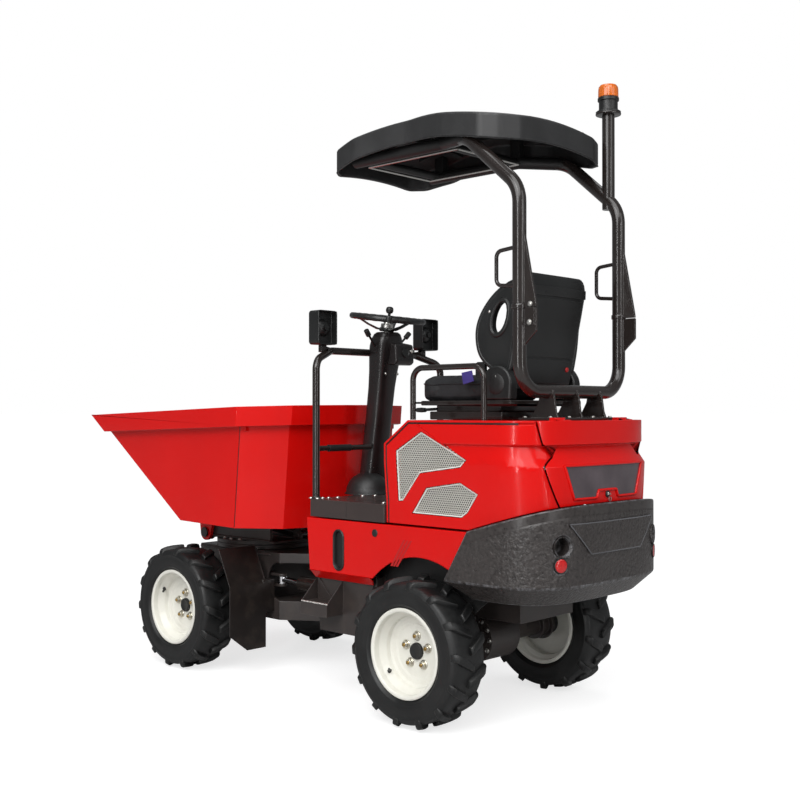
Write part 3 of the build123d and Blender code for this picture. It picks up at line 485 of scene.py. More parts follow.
def mesh_of(shape, name, smooth=38, edge=0.0, segments=2, angle=30):
    bm = bmesh.new()
    verts = [bm.verts.new(p) for p in shape[0]]
    for face in shape[1]:
        bm.faces.new([verts[i] for i in face])
    bmesh.ops.remove_doubles(bm, verts=bm.verts, dist=1e-6)
    bmesh.ops.dissolve_degenerate(bm, dist=1e-6, edges=bm.edges)
    bmesh.ops.recalc_face_normals(bm, faces=bm.faces)
    if edge:
        ease(bm, edge, segments, angle)
    return finished_mesh(bm, name, smooth)


def modified(mesh, setup):
    """Runs modifiers on a mesh and returns the plain result."""
    holder = bpy.data.objects.new("holder", mesh)
    scene.collection.objects.link(holder)
    setup(holder)
    deps = bpy.context.evaluated_depsgraph_get()
    done = bpy.data.meshes.new_from_object(holder.evaluated_get(deps))
    bpy.data.objects.remove(holder)
    return done


def even_normals(obj):
    obj.modifiers.new("normals", "WEIGHTED_NORMAL").keep_sharp = True


def dress(name, mesh, body, material):
    """A finished piece that rides on a body."""
    mesh.name = name
    obj = bpy.data.objects.new(name, mesh)
    scene.collection.objects.link(obj)
    mesh.materials.clear()
    mesh.materials.append(material)
    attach(obj, body)
    return obj


def piece(name, shape, body, slot, material, smooth=38, edge=0.0, segments=2, angle=30):
    """A new piece from a shape in the drawing's place."""
    mesh = mesh_of(shape, name, smooth, edge, segments, angle)
    if edge:
        mesh = modified(mesh, even_normals)
    mesh.transform(TO_FRAME)
    return dress(name, mesh, body, material)


def fitting(name, shape, material=PLASTIC, smooth=38, **easing):
    """A moulded or plated fitting on the rear frame; also some dark sheets and patches of painted shade
    there.
    """
    return piece(name, shape, "rear_frame", "black_plastic", material, smooth, **easing)


def cad_copy(node):
    """The CAD node's mesh, merged, with its flat faces whole."""
    bm = bmesh.new()
    bm.from_mesh(nodes[node].data)
    bmesh.ops.remove_doubles(bm, verts=bm.verts, dist=2e-5)
    bmesh.ops.dissolve_limit(bm, angle_limit=math.radians(0.7), verts=bm.verts, edges=bm.edges)
    return bm


def eased(node, width, segments=2, angle=32, material=None, cut=None):
    """Copy of a CAD node with rounded edges, and holes where a cutter is given, in place of the node."""
    bm = cad_copy(node)
    if cut is not None:
        plain = finished_mesh(bm, node, 30)
        cutter = bpy.data.objects.new("cutter", cut)
        scene.collection.objects.link(cutter)

        def setup(obj):
            carve = obj.modifiers.new("carve", "BOOLEAN")
            carve.operation = "DIFFERENCE"
            carve.object = cutter

        bm = bmesh.new()
        bm.from_mesh(modified(plain, setup))
        bpy.data.objects.remove(cutter)
    ease(bm, width, segments, angle)
    mesh = modified(finished_mesh(bm, node, 40), even_normals)
    finish = material or SPECIAL.get(node, FINISH[SLOT_OF[node]])
    obj = dress(node + "_eased", mesh, BODY_OF[node], finish)
    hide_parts(node)
    return obj


# Repeats: one tree puts a shape on every point, turned and sized by the point's own attributes.
def repeat_tree():
    tree = bpy.data.node_groups.new("shape_on_points", "GeometryNodeTree")
    for label, kind in (("Points", "Geometry"), ("Shape", "Object"), ("Finish", "Material")):
        tree.interface.new_socket(label, in_out="INPUT", socket_type="NodeSocket" + kind)
    tree.interface.new_socket("Pieces", in_out="OUTPUT", socket_type="NodeSocketGeometry")
    start = tree.nodes.new("NodeGroupInput")
    end = tree.nodes.new("NodeGroupOutput")
    shape = tree.nodes.new("GeometryNodeObjectInfo")
    spot = tree.nodes.new("GeometryNodeInstanceOnPoints")
    turn = add(tree, "GeometryNodeInputNamedAttribute", data_type="FLOAT_VECTOR", Name="turn")
    size = add(tree, "GeometryNodeInputNamedAttribute", data_type="FLOAT", Name="size")
    spin = tree.nodes.new("FunctionNodeEulerToRotation")
    real = tree.nodes.new("GeometryNodeRealizeInstances")
    finish = tree.nodes.new("GeometryNodeSetMaterial")
    for source, target in (
        (start.outputs["Points"], spot.inputs["Points"]),
        (start.outputs["Shape"], shape.inputs["Object"]),
        (shape.outputs["Geometry"], spot.inputs["Instance"]),
        (turn.outputs["Attribute"], spin.inputs["Euler"]),
        (spin.outputs["Rotation"], spot.inputs["Rotation"]),
        (size.outputs["Attribute"], spot.inputs["Scale"]),
        (spot.outputs["Instances"], real.inputs["Geometry"]),
        (real.outputs["Geometry"], finish.inputs["Geometry"]),
        (start.outputs["Finish"], finish.inputs["Material"]),
        (finish.outputs["Geometry"], end.inputs["Pieces"]),
    ):
        tree.links.new(source, target)
    return tree


REPEAT = repeat_tree()
REPEAT_INPUT = {item.name: item.identifier for item in REPEAT.interface.items_tree if item.in_out == "INPUT"}


def repeat(name, shape, places, body, material, sizes=None, smooth=38, edge=0.0):
    """Copies of one shape at many places, as one piece."""
    points = bpy.data.meshes.new(name)
    points.from_pydata([place.to_translation() for place in places], [], [])
    turn = points.attributes.new("turn", "FLOAT_VECTOR", "POINT")
    turn.data.foreach_set("vector", [angle for place in places for angle in place.to_euler()])
    size = points.attributes.new("size", "FLOAT", "POINT")
    size.data.foreach_set("value", sizes or [1.0] * len(places))
    model = bpy.data.objects.new("model", mesh_of(shape, "model", smooth, edge, 1))
    scene.collection.objects.link(model)

    def setup(obj):
        modifier = obj.modifiers.new("repeat", "NODES")
        modifier.node_group = REPEAT
        modifier[REPEAT_INPUT["Shape"]] = model
        modifier[REPEAT_INPUT["Finish"]] = material

    mesh = modified(points, setup)
    bpy.data.objects.remove(model)
    mesh.transform(TO_FRAME)
    return dress(name, mesh, body, material)


# Wheels
AXLE_X = 0.891
AXLE_Z = 0.343
WHEEL_Y = 0.512
WHEELS = {
    "fl": (AXLE_X, WHEEL_Y), "fr": (AXLE_X, -WHEEL_Y),
    "rl": (-AXLE_X, WHEEL_Y), "rr": (-AXLE_X, -WHEEL_Y),
}
TO_AXLE = Matrix.Rotation(-math.pi / 2, 4, "X")
LUGS = 28
LUG_SLANT = 0.53 / 0.33
NUTS = 5
NUT_CIRCLE = 0.06985
NUT_SIZE = 1.3
VALVE_ANGLE = {"f": math.radians(28), "r": math.radians(322)}


def tyre_carcass():
    half = [(0.1915, 0.0860), (0.2085, 0.0868), (0.2115, 0.0900), (0.2165, 0.0965), (0.2240, 0.1025),
            (0.2290, 0.1055), (0.2320, 0.1046), (0.2350, 0.1060), (0.2520, 0.1078), (0.2720, 0.1078),
            (0.2850, 0.1066), (0.2885, 0.1079), (0.2925, 0.1079), (0.2955, 0.1062), (0.3050, 0.1032),
            (0.3130, 0.0975), (0.3175, 0.0880), (0.3205, 0.0600), (0.3225, 0.0300), (0.3230, 0.0)]
    return lathe(half + [(r, -h) for r, h in reversed(half[:-1])], 96, closed=True)


def tyre_lug(start, side):
    """One slanted tread bar that runs over the shoulder and down the wall, at an angle round the tyre."""
    stations = [(-0.008, 0.3400, 0.318, 0.0155), (0.004, 0.3424, 0.318, 0.0172),
                (0.045, 0.3424, 0.318, 0.0178), (0.076, 0.3402, 0.315, 0.0182),
                (0.0935, 0.3345, 0.309, 0.0182), (0.1020, 0.3240, 0.301, 0.0176),
                (0.1060, 0.3110, 0.296, 0.0168), (0.1078, 0.2965, 0.288, 0.0150)]
    loops = []
    for y, high, low, half in stations:
        middle = start + LUG_SLANT * (0.046 - y)
        loop = []
        for radius, reach in ((low, -half - 0.006), (high, -half), (high, half), (low, half + 0.006)):
            a = middle + reach / 0.335
            depth = y if radius == high or y < 0.08 else y - 0.010
            loop.append(Vector((radius * math.cos(a), depth * side, radius * math.sin(a))))
        loops.append(loop)
    return skin(loops)


def rim_disc():
    face = [(0.0385, 0.0), (0.1200, 0.0), (0.1300, 0.0040), (0.1500, 0.0040), (0.1625, 0.0100),
            (0.1660, 0.0300), (0.1685, 0.0340), (0.1830, 0.0580), (0.1855, 0.0640), (0.1865, 0.0860),
            (0.1885, 0.0925), (0.1940, 0.0955), (0.2010, 0.0965), (0.2065, 0.0945), (0.2080, 0.0905),
            (0.2060, 0.0888), (0.1912, 0.0884), (0.1905, 0.0600), (0.1720, 0.0300)]
    back = [(0.1720, -0.0500), (0.1905, -0.0700), (0.1912, -0.0884), (0.2060, -0.0888), (0.2080, -0.0905),
            (0.2065, -0.0945), (0.2010, -0.0965), (0.1885, -0.0925), (0.1855, -0.0640), (0.1670, -0.0520),
            (0.1660, -0.0120), (0.0385, -0.0120)]
    return lathe(face + back, 72, closed=True)


CARCASS = tyre_carcass()
RIM = rim_disc()
HUB = lathe([(0.0, -0.060), (0.058, -0.060), (0.062, -0.056), (0.062, -0.0125), (0.0392, -0.0125),
             (0.0392, -0.030), (0.034, -0.033), (0.0, -0.033)], 40, closed=True)
END_COVER = lathe([(0, 0.0124), (0.0280, 0.0124), (0.0300, 0.0136), (0.0345, 0.0136), (0.0366, 0.0120),
                   (0.0366, 0.0005)], 36)
NUT_SEAT = lathe([(0, 0), (0.0175, 0), (0.0175, 0.0012), (0.0150, 0.0036), (0, 0.0036)], 20)
NUT_HEXAGON = lathe([(0, 0.0030), (0.0135, 0.0030), (0.0135, 0.0120), (0.0118, 0.0142), (0, 0.0142)], 6)
NUT_SHAPE = joined(NUT_SEAT, moved(NUT_HEXAGON, Matrix.Rotation(0.4, 4, "Z")))
STUD_SHAPE = lathe([(0, 0.010), (0.0066, 0.010), (0.0066, 0.0175), (0.0052, 0.0190), (0, 0.0190)], 12)
HEX_BOLT = joined(lathe([(0, 0), (0.0125, 0), (0.0125, 0.0014), (0, 0.0014)], 18),
                  lathe([(0, 0.001), (0.0092, 0.001), (0.0092, 0.0060), (0.0080, 0.0072), (0, 0.0072)], 6))
DOME_BOLT = joined(lathe([(0, 0), (0.0105, 0), (0.0105, 0.0012), (0, 0.0012)], 18),
                   lathe([(0.0082, 0.001), (0.0076, 0.0032), (0.0058, 0.0050), (0.0032, 0.0058),
                          (0.0030, 0.0034), (0, 0.0034)], 16))


def valve_stem(centre, side, angle):
    """Rubber valve that leans out of the rim."""
    out = Vector((math.cos(angle), 0, math.sin(angle)))
    foot = centre + Vector((0, side * 0.044, 0)) + out * 0.1745
    tip = foot - out * 0.030 + Vector((0, side * 0.024, 0))
    path = [foot, foot - out * 0.010, tip - (tip - foot) * 0.3, tip]
    return tube(path, [0.0095, 0.0075, 0.0058, 0.0055], 12)


def dress_wheel(wheel, x, y):
    body = "wheel_" + wheel
    side = 1 if y > 0 else -1
    middle = Vector((x, y, AXLE_Z))
    centre = Matrix.Translation(middle)
    outward = centre @ Matrix.Scale(side, 4, LEFT) @ TO_AXLE
    tyre = piece(f"tyre_{wheel}_carcass", moved(CARCASS, centre @ TO_AXLE), body, "tyre_rubber", RUBBER, 50)
    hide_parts("tyre_" + wheel)
    step = 2 * math.pi / LUGS
    lug_pair = joined(tyre_lug(0, -side), tyre_lug(step, side))
    turns = [centre @ Matrix.Rotation(math.pi / 2 - 2 * i * step, 4, "Y") for i in range(LUGS // 2)]
    repeat(f"tyre_{wheel}_lugs", lug_pair, turns, body, RUBBER, smooth=40, edge=0.0025)
    disc = piece(f"rim_{wheel}_disc", moved(RIM, outward), body, "rim_cream", CREAM, 34,
                 edge=0.0012, angle=20)
    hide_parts("rim_" + wheel)
    piece(f"rim_{wheel}_hub", moved(HUB, outward), body, "frame_paint", DARK_RUBBER_AND_SHADE, edge=0.001)
    axle_body = "front_frame" if wheel[0] == "f" else "rear_frame"
    piece(f"axle_{wheel}_end_cover", moved(END_COVER, outward), axle_body, "frame_paint", DARK_RUBBER_AND_SHADE, 40)
    ring = []
    for a in around(NUTS, math.pi / 2):
        spot = middle + Vector((math.cos(a), 0, math.sin(a))) * NUT_CIRCLE
        ring.append(facing(spot, (0, side, 0)))
    sizes = [NUT_SIZE] * NUTS
    repeat(f"rim_{wheel}_nuts", NUT_SHAPE, ring, body, NUT, sizes, edge=0.0008)
    repeat(f"rim_{wheel}_studs", STUD_SHAPE, ring, body, BRASS, sizes)
    piece(f"rim_{wheel}_valve", valve_stem(middle, side, VALVE_ANGLE[wheel[0]]), body, "rim_cream", DARK_RUBBER_AND_SHADE)


for wheel, (x, y) in WHEELS.items():
    dress_wheel(wheel, x, y)

# Rear body surface: how far the side and the rear stand out at a height
BODY_LEVELS = ((0.905, -0.014, 0.345), (1.020, -0.012, 0.350), (1.200, 0.004, 0.352), (1.400, 0.006, 0.330))
BODY_HALF = 0.5
BODY_BEND = -1.230
BODY_CURVE = 3.6
WEIGHT_BEND = -1.200
WEIGHT_DEPTH = 0.428
WEIGHT_HALF = 0.530


def between(levels, z, column):
    for low, high in zip(levels, levels[1:]):
        if z <= high[0]:
            share = max(0.0, (z - low[0]) / (high[0] - low[0]))
            return low[column] + (high[column] - low[column]) * share
    return levels[-1][column]


def rounding(share):
    """How much of a depth is left at a share of the width, on the rear's squared curve."""
    return (1 - share ** BODY_CURVE) ** (1 / BODY_CURVE)


def body_side(z):
    return BODY_HALF + between(BODY_LEVELS, z, 1)


def body_rear(y, z):
    return BODY_BEND - between(BODY_LEVELS, z, 2) * rounding(min(1.0, abs(y) / body_side(z)))


def side_at(x, z):
    """Half width of the rear body at a point along it."""
    share = max(0.0, (BODY_BEND - x) / between(BODY_LEVELS, z, 2))
    return body_side(z) * rounding(min(0.999, share))


def weight_rear(y, z):
    """Rear of the counterweight, the same at every height z."""
    return WEIGHT_BEND - WEIGHT_DEPTH * rounding(abs(y) / WEIGHT_HALF)


def normal_of(surface, y, z):
    """Outward direction of a rear surface x = surface(y, z)."""
    gap = 0.002
    slope_y = (surface(y + gap, z) - surface(y - gap, z)) / (2 * gap)
    slope_z = (surface(y, z + gap) - surface(y, z - gap)) / (2 * gap)
    return Vector((-1, slope_y, slope_z)).normalized()


def on_rear(surface, y, z, lift):
    """A point lifted off a rear surface."""
    return Vector((surface(y, z), y, z)) + normal_of(surface, y, z) * lift


# Grilles: perforated sheet behind each opening, with a pale frame round it that is partly a painted
# highlight, and a dark sheet of painted shade behind the holes
GRILLES = (
    [(-0.746, 1.257), (-0.906, 1.348), (-1.175, 1.224), (-1.141, 1.190), (-0.895, 1.155), (-0.776, 1.022),
     (-0.746, 1.018)],
    [(-0.831, 0.967), (-0.928, 1.091), (-1.134, 1.123), (-1.234, 1.075), (-1.168, 0.988), (-1.134, 0.965)],
)
HOLE_PITCH = 0.0115
HOLE_RADIUS = 0.0041
SHEET = 0.0016
SHEET_SINK = 0.0085
FRAME_SECTION = ((0.003, -0.0100), (0.003, -0.0030), (0.0085, -0.0045), (0.0085, -0.0100))


def within(outline, x, z):
    """Whether a point lies inside an outline."""
    inside = False
    for (xa, za), (xb, zb) in pairs(outline):
        if (za > z) != (zb > z) and x < (xb - xa) * (z - za) / (zb - za) + xa:
            inside = not inside
    return inside


def hole_tile():
    """Hexagon of sheet with a hole, facing Z."""
    points = []
    for a in around(6, math.pi / 6):
        corner = Vector((math.cos(a), math.sin(a), 0))
        rim = corner * HOLE_RADIUS
        points += [corner * HOLE_PITCH / math.sqrt(3), rim, rim - Vector((0, 0, SHEET))]
    faces = []
    for i in range(6):
        a, b = 3 * i, 3 * ((i + 1) % 6)
        faces += [[a, b, b + 1, a + 1], [a + 1, b + 1, b + 2, a + 2]]
    return points, faces


def sheet_tiles(outline):
    """Places of the tiles that fill an opening in the left side."""
    xs, zs = zip(*outline)
    places = []
    row = 0
    z = min(zs)
    while z < max(zs):
        x = min(xs) + (row % 2) * HOLE_PITCH / 2
        lean = Vector((0, 1, -(body_side(z + 0.01) - body_side(z - 0.01)) / 0.02))
        while x < max(xs):
            if within(outline, x, z):
                places.append(facing((x, body_side(z) - SHEET_SINK, z), lean))
            x += HOLE_PITCH
        z += HOLE_PITCH * math.sqrt(3) / 2
        row += 1
    return places


def inset_loop(outline, inset):
    """The outline moved inward at its corners."""
    area = sum(a[0] * b[1] - b[0] * a[1] for a, b in pairs(outline))
    loop = []
    for i, here in enumerate(outline):
        here = Vector(here)
        first = (here - Vector(outline[i - 1])).normalized()
        second = (Vector(outline[(i + 1) % len(outline)]) - here).normalized()
        inward = Vector((-first.y - second.y, first.x + second.x)) * math.copysign(1, area)
        loop.append(here + inward.normalized() * (inset / max(0.3, inward.length / 2)))
    return loop


def grille_frame(outline):
    loops = []
    for inset, lift in FRAME_SECTION:
        loops.append([(p.x, body_side(p.y) + lift, p.y) for p in inset_loop(outline, inset)])
    return skin(loops, wrap=True)


tiles = [place for outline in GRILLES for place in sheet_tiles(outline)]
tiles += [facing(place.to_translation() * Vector((1, -1, 1)), (0, -1, 0)) for place in tiles]
sheet = repeat("side_grilles_sheet", hole_tile(), tiles, "rear_frame", MESH, smooth=30)
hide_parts("side_grilles")
frames = joined(*[grille_frame(outline) for outline in GRILLES])
piece("side_grilles_frames", both(frames), "rear_frame", "grille_mesh", FRAME_HIGHLIGHT_PAINT, edge=0.001)
# Dark sheet behind the holes: painted shade in place of the dark inside.
grille_shade_sheet = joined(*[prism(outline, "y", 0.462, 0.464) for outline in GRILLES])
fitting("side_grilles_backing", both(grille_shade_sheet), DARK_RUBBER_AND_SHADE)


# Rounded copies of the CAD pieces
SLOT_X = -0.354


def stadium(z0, z1, half, steps=14):
    """Outline of the sill's upright slot with round ends."""
    return arc((SLOT_X, z1 - half), half, 0, 180, steps) + arc((SLOT_X, z0 + half), half, 180, 360, steps)


slot_cut = mesh_of(both(prism(stadium(0.664, 0.852, 0.031), "y", 0.450, 0.540)), "slot_cut")
slot_cut.transform(TO_FRAME)
for node in ("sill_left", "sill_right"):
    eased(node, 0.004, 3, cut=slot_cut)
for node, width, segments, angle in (
    ("hopper", 0.0028, 2, 24), ("side_panel_left", 0.003, 2, 35), ("side_panel_right", 0.003, 2, 35),
    ("engine_cover", 0.0022, 2, 30), ("bonnet", 0.003, 2, 35), ("deck", 0.004, 3, 30),
    ("front_chassis", 0.003, 2, 32), ("rear_chassis", 0.003, 2, 32), ("turntable_frame", 0.0025, 2, 32),
    ("mudguards", 0.002, 2, 32), ("steps", 0.0016, 2, 32), ("seat_base", 0.005, 2, 32),
    ("headlamps", 0.003, 2, 32), ("rops_lower", 0.0025, 2, 32), ("canopy", 0.010, 4, 32),
    ("handrail", 0.0025, 2, 32), ("front_axle", 0.004, 2, 32), ("rear_axle", 0.004, 2, 32),
    ("engine_block", 0.012, 2, 32), ("control_levers", 0.003, 2, 32), ("bonnet_window", 0.001, 1, 32),
    ("counterweight", 0.008, 3, 28),
):
    eased(node, width, segments, angle)


# Sills: rubber-edged slot closed by a dark sheet of painted shade, plug and slanted stripes
def slot_rim():
    outer = stadium(0.6555, 0.8605, 0.0395)
    inner = stadium(0.6665, 0.8495, 0.0285)
    crest = [((a[0] + b[0]) / 2, (a[1] + b[1]) / 2) for a, b in zip(outer, inner)]
    section = ((outer, 0.4935), (outer, 0.5030), (crest, 0.5062), (inner, 0.5020), (inner, 0.4860))
    return skin([[(x, y, z) for x, z in loop] for loop, y in section], wrap=True)


piece("sill_slot_rims", both(slot_rim()), "rear_frame", "red_paint", DARK_RUBBER_AND_SHADE, smooth=60)
# Dark sheet just inside the slot: painted shade in place of the sill's hollow.
slot_shade_sheet = prism(stadium(0.6665, 0.8495, 0.0285), "y", 0.4870, 0.4880)
piece("sill_slot_wells", both(slot_shade_sheet), "rear_frame", "red_paint", DARK_RUBBER_AND_SHADE)
plug = turned([(0, -0.004), (0.0185, -0.004), (0.0185, 0.0015), (0.0165, 0.0032), (0.006, 0.0040),
               (0, 0.0040)], (-0.605, BODY_HALF, 0.860), LEFT)
piece("sill_plugs", both(plug), "rear_frame", "red_paint", DARK_RUBBER_AND_SHADE)
stripes = []
for k in (0.0, 0.022, 0.044):
    foot = k * 0.8
    slant = [(-0.791 - k, 0.842), (-0.805 - k, 0.842), (-0.722 - foot, 0.714), (-0.708 - foot, 0.714)]
    stripes.append(prism(slant, "y", 0.4995, 0.5004))
piece("sill_stripes", both(joined(*stripes)), "rear_frame", "red_paint", STRIPE_RED)


# Hopper: lapped side plates, a dark painted shadow line along each lap, and rim blocks
LAP_LOW = 0.822
LAP_HIGH = 1.362
LAP_WIDTH = 0.024


def lap(z):
    """Place of the lap along the hopper's side at a height."""
    return 0.315 + 0.0905 * (1.475 - z)


lip = prism([(lap(LAP_LOW), LAP_LOW), (lap(LAP_HIGH), LAP_HIGH), (lap(LAP_HIGH) + LAP_WIDTH, LAP_HIGH),
             (lap(LAP_LOW) + LAP_WIDTH, LAP_LOW)], "y", 0.5745, 0.5812)
piece("hopper_side_laps", both(lip), "hopper", "red_paint", RED, edge=0.0015)
# Dark line just ahead of each lap's edge: a painted shadow where the lap stands proud.
seam_and_painted_shadow = tube([(lap(z) - 0.0015, 0.5768, z) for z in (0.824, 1.0, 1.2, 1.360)], 0.0016, 6)
piece("hopper_side_seams", both(seam_and_painted_shadow), "hopper", "red_paint", DARK_RUBBER_AND_SHADE)
block = box(0.292, 0.362, 0.520, 0.566, 1.335, 1.366)
piece("hopper_rim_blocks", both(block), "hopper", "red_paint", RED, edge=0.004)

# Bonnet: bead round the window, lock and key
WINDOW = [(0.246, 1.057), (0.306, 1.205), (-0.306, 1.205), (-0.246, 1.057), (-0.085, 1.057), (-0.070, 1.090),
          (0.070, 1.090), (0.085, 1.057)]
bead = [on_rear(body_rear, p.x, p.y, 0.0012) for p in walk(WINDOW, 0.02, 2)]
piece("bonnet_window_bead", tube(bead, 0.0062, 10, closed=True), "bonnet", "red_paint", RED, 60)
LOCK_Z = 1.071
lock_x = body_rear(0, LOCK_Z)
lock = turned([(0, -0.01), (0.0165, -0.01), (0.0165, 0.004), (0.0140, 0.0065), (0.0085, 0.0065),
               (0.0085, 0.004), (0, 0.004)], (lock_x, 0, LOCK_Z), REARWARD)
piece("bonnet_lock", lock, "bonnet", "black_plastic", DARK_RUBBER_AND_SHADE)
keyhole = turned([(0, 0.0035), (0.0080, 0.0035), (0.0080, 0.0058), (0.0068, 0.0066), (0, 0.0066)],
                 (lock_x, 0, LOCK_Z), REARWARD, 20)
KEY_RING = (0.0, 1.0475)
key = prism(arc(KEY_RING, 0.011, 70, 470, 18) + arc(KEY_RING, 0.0075, 470, 70, 18), "x",
            lock_x - 0.016, lock_x - 0.0135)
blade = box(lock_x - 0.019, lock_x - 0.0065, -0.0012, 0.0012, 1.0655, 1.0765)
piece("bonnet_key", joined(keyhole, key, blade), "bonnet", "black_plastic", STEEL)

# Counterweight: raised rear field with a pale line round its edge as a painted highlight, and reflectors with
# a faint painted glow
FIELD = [(0.330, 0.957), (-0.330, 0.957), (-0.197, 0.822), (0.197, 0.822)]
FIELD_ROWS = 8
FIELD_COLUMNS = 20


def raised_field():
    (high_half, high), _, _, (low_half, low) = FIELD
    loops = []
    for k in range(FIELD_ROWS + 1):
        share = k / FIELD_ROWS
        z = low + (high - low) * share
        half = low_half + (high_half - low_half) * share
        across = [-half + 2 * half * i / FIELD_COLUMNS for i in range(FIELD_COLUMNS + 1)]
        outside = [on_rear(weight_rear, y, z, 0.0065) for y in across]
        loops.append(outside + [on_rear(weight_rear, y, z, -0.004) for y in reversed(across)])
    return skin(loops)


piece("counterweight_field", raised_field(), "rear_frame", "cast_weight", CAST, edge=0.003)
# The pale line round the field is a painted highlight along its raised edge.
edge_line = [on_rear(weight_rear, p.x, p.y, 0.0048) for p in walk(FIELD, 1.0, 20)]
piece("counterweight_field_edge", tube(edge_line, 0.0026, 8, closed=True), "rear_frame", "cast_weight",
      FIELD_EDGE_HIGHLIGHT, 60)
REFLECTOR_Y = 0.372
REFLECTOR_Z = 0.784
reflectors = []
bezels = []
for side in SIDES:
    y = side * REFLECTOR_Y
    place = (weight_rear(y, REFLECTOR_Z), y, REFLECTOR_Z)
    out = normal_of(weight_rear, y, REFLECTOR_Z)
    reflectors.append(turned([(0, -0.004), (0.0295, -0.004), (0.0295, 0.0035), (0.0270, 0.0052),
                              (0.014, 0.0058), (0, 0.0059)], place, out, 40))
    bezels.append(turned([(0.0292, -0.006), (0.0327, -0.006), (0.0327, 0.0035), (0.0312, 0.0052),
                          (0.0292, 0.0046)], place, out, 40, closed=True))
obj = piece("tail_lamps_reflectors", joined(*reflectors), "rear_frame", "red_lens", RED_LENS)
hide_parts("tail_lamps")
piece("tail_lamps_bezels", joined(*bezels), "rear_frame", "red_lens", DARK_RUBBER_AND_SHADE)

# Steering wheel: padded rim, three spokes, hub cap and spinner knob
WHEEL = Matrix.Translation((-0.205, 0, 1.935)) @ Matrix.Rotation(math.radians(-8), 4, "Y")
GRIP_RADIUS = 0.190
GRIP_POINTS = 96
SPOKE_STATIONS = ((0.020, -0.058, 0.030, 0.006), (0.055, -0.055, 0.026, 0.006),
                  (0.105, -0.036, 0.018, 0.0055), (0.155, -0.010, 0.014, 0.006), (0.186, 0.001, 0.016, 0.008))
SPOKE_SECTION = ((-1, -0.4), (-0.7, 0.8), (0.7, 0.8), (1, -0.4), (0.6, -1), (-0.6, -1))


def wheel_spoke(angle):
    out = Vector((math.cos(angle), math.sin(angle), 0))
    across = Vector((-math.sin(angle), math.cos(angle), 0))
    loops = []
    for reach, height, half, thick in SPOKE_STATIONS:
        centre = out * reach + Vector((0, 0, height))
        loops.append([centre + across * half * c + Vector((0, 0, thick * s)) for c, s in SPOKE_SECTION])
    return skin(loops)


grip_line = [(GRIP_RADIUS * math.cos(a), GRIP_RADIUS * math.sin(a), 0) for a in around(GRIP_POINTS)]
swell = [0.0165 if (i // 2) % 2 else 0.0155 for i in range(GRIP_POINTS)]
grip = tube(grip_line, swell, 14, closed=True)
boss = lathe([(0.0135, -0.069), (0.036, -0.069), (0.040, -0.064), (0.040, -0.052), (0.034, -0.048),
              (0.0135, -0.048)], 36, closed=True)
wheel_shape = joined(grip, *[wheel_spoke(a) for a in around(3, math.pi)], boss)
obj = piece("steering_wheel_rim", moved(wheel_shape, WHEEL), "steering_wheel", "black_plastic", PLASTIC, 50)
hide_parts("steering_wheel")
cap = lathe([(0, -0.0485), (0.0330, -0.0485), (0.0330, -0.0300), (0.0290, -0.0270), (0.0200, -0.0270),
             (0.0190, -0.0200), (0.0140, -0.0180), (0, -0.0178)], 32)
piece("steering_wheel_cap", moved(cap, WHEEL), "steering_wheel", "black_plastic", STEEL)
knob = lathe([(0, 0.020), (0.0075, 0.020), (0.0075, 0.030), (0.0150, 0.033), (0.0195, 0.042), (0.0198, 0.052),
              (0.0170, 0.061), (0.0095, 0.0658), (0, 0.0665)], 28)
clamp = lathe([(0, -0.0165), (0.020, -0.0165), (0.022, -0.012), (0.022, 0.012), (0.020, 0.0185),
               (0, 0.0205)], 28)
knob_place = WHEEL @ Matrix.Translation((-0.136, 0.131, 0))
piece("steering_wheel_knob", moved(joined(knob, clamp), knob_place), "steering_wheel", "black_plastic",
      PLASTIC, 50)

# Steering column: body, foot dome, side console, dial and switches
COLUMN = ((1.0004, -0.088, 0.112, 0.150), (1.10, -0.096, 0.112, 0.145), (1.23, -0.112, 0.111, 0.137),
          (1.40, -0.136, 0.110, 0.133), (1.571, -0.160, 0.112, 0.138), (1.66, -0.173, 0.119, 0.150),
          (1.74, -0.185, 0.128, 0.170), (1.79, -0.192, 0.130, 0.176), (1.83, -0.198, 0.122, 0.162),
          (1.852, -0.2015, 0.108, 0.140), (1.862, -0.203, 0.090, 0.112))
DIAL_LEAN = (-1, 0, 0.08)
column = skin([rounded_ring(x, depth / 2, width / 2, z, 0.62, 44) for z, x, depth, width in COLUMN])
shaft = tube([(-0.1925, 0, 1.850), (-0.2022, 0, 1.915)], 0.0130, 20)
obj = fitting("steering_column_body", joined(column, shaft), COLUMN_PLASTIC, 60)
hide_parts("steering_column")
dome = turned([(0.124, 0), (0.124, 0.006), (0.117, 0.009), (0.114, 0.035), (0.101, 0.066), (0.078, 0.091),
               (0.048, 0.108), (0, 0.114)], (-0.118, 0.062, 1.0004), UP, 48)
fitting("column_gaiter", dome, DARK_RUBBER_AND_SHADE, 70)
console = prism([(-0.300, 1.700), (-0.292, 1.795), (-0.205, 1.812), (-0.150, 1.800), (-0.150, 1.690),
                 (-0.280, 1.685)], "y", -0.108, 0.030)
fitting("column_console", console, COLUMN_PLASTIC, edge=0.010, segments=3)
dial = turned([(0, 0.0), (0.0265, 0.0), (0.0265, 0.004), (0.0240, 0.0055), (0.0225, 0.0035), (0, 0.0035)],
              (-0.2965, -0.040, 1.752), DIAL_LEAN, 32)
fitting("column_dial", dial)
rockers = [box(-0.2995, -0.2900, y, y + 0.013, 1.706, 1.728) for y in (-0.094, -0.076, -0.018, 0.000)]
fitting("column_rockers", joined(*rockers), edge=0.002)
barrel = turned([(0, -0.002), (0.0105, -0.002), (0.0105, 0.004), (0.008, 0.006), (0, 0.006)],
                (-0.2945, -0.088, 1.760), DIAL_LEAN, 20)
start_key = box(-0.318, -0.300, -0.0890, -0.0870, 1.752, 1.768)
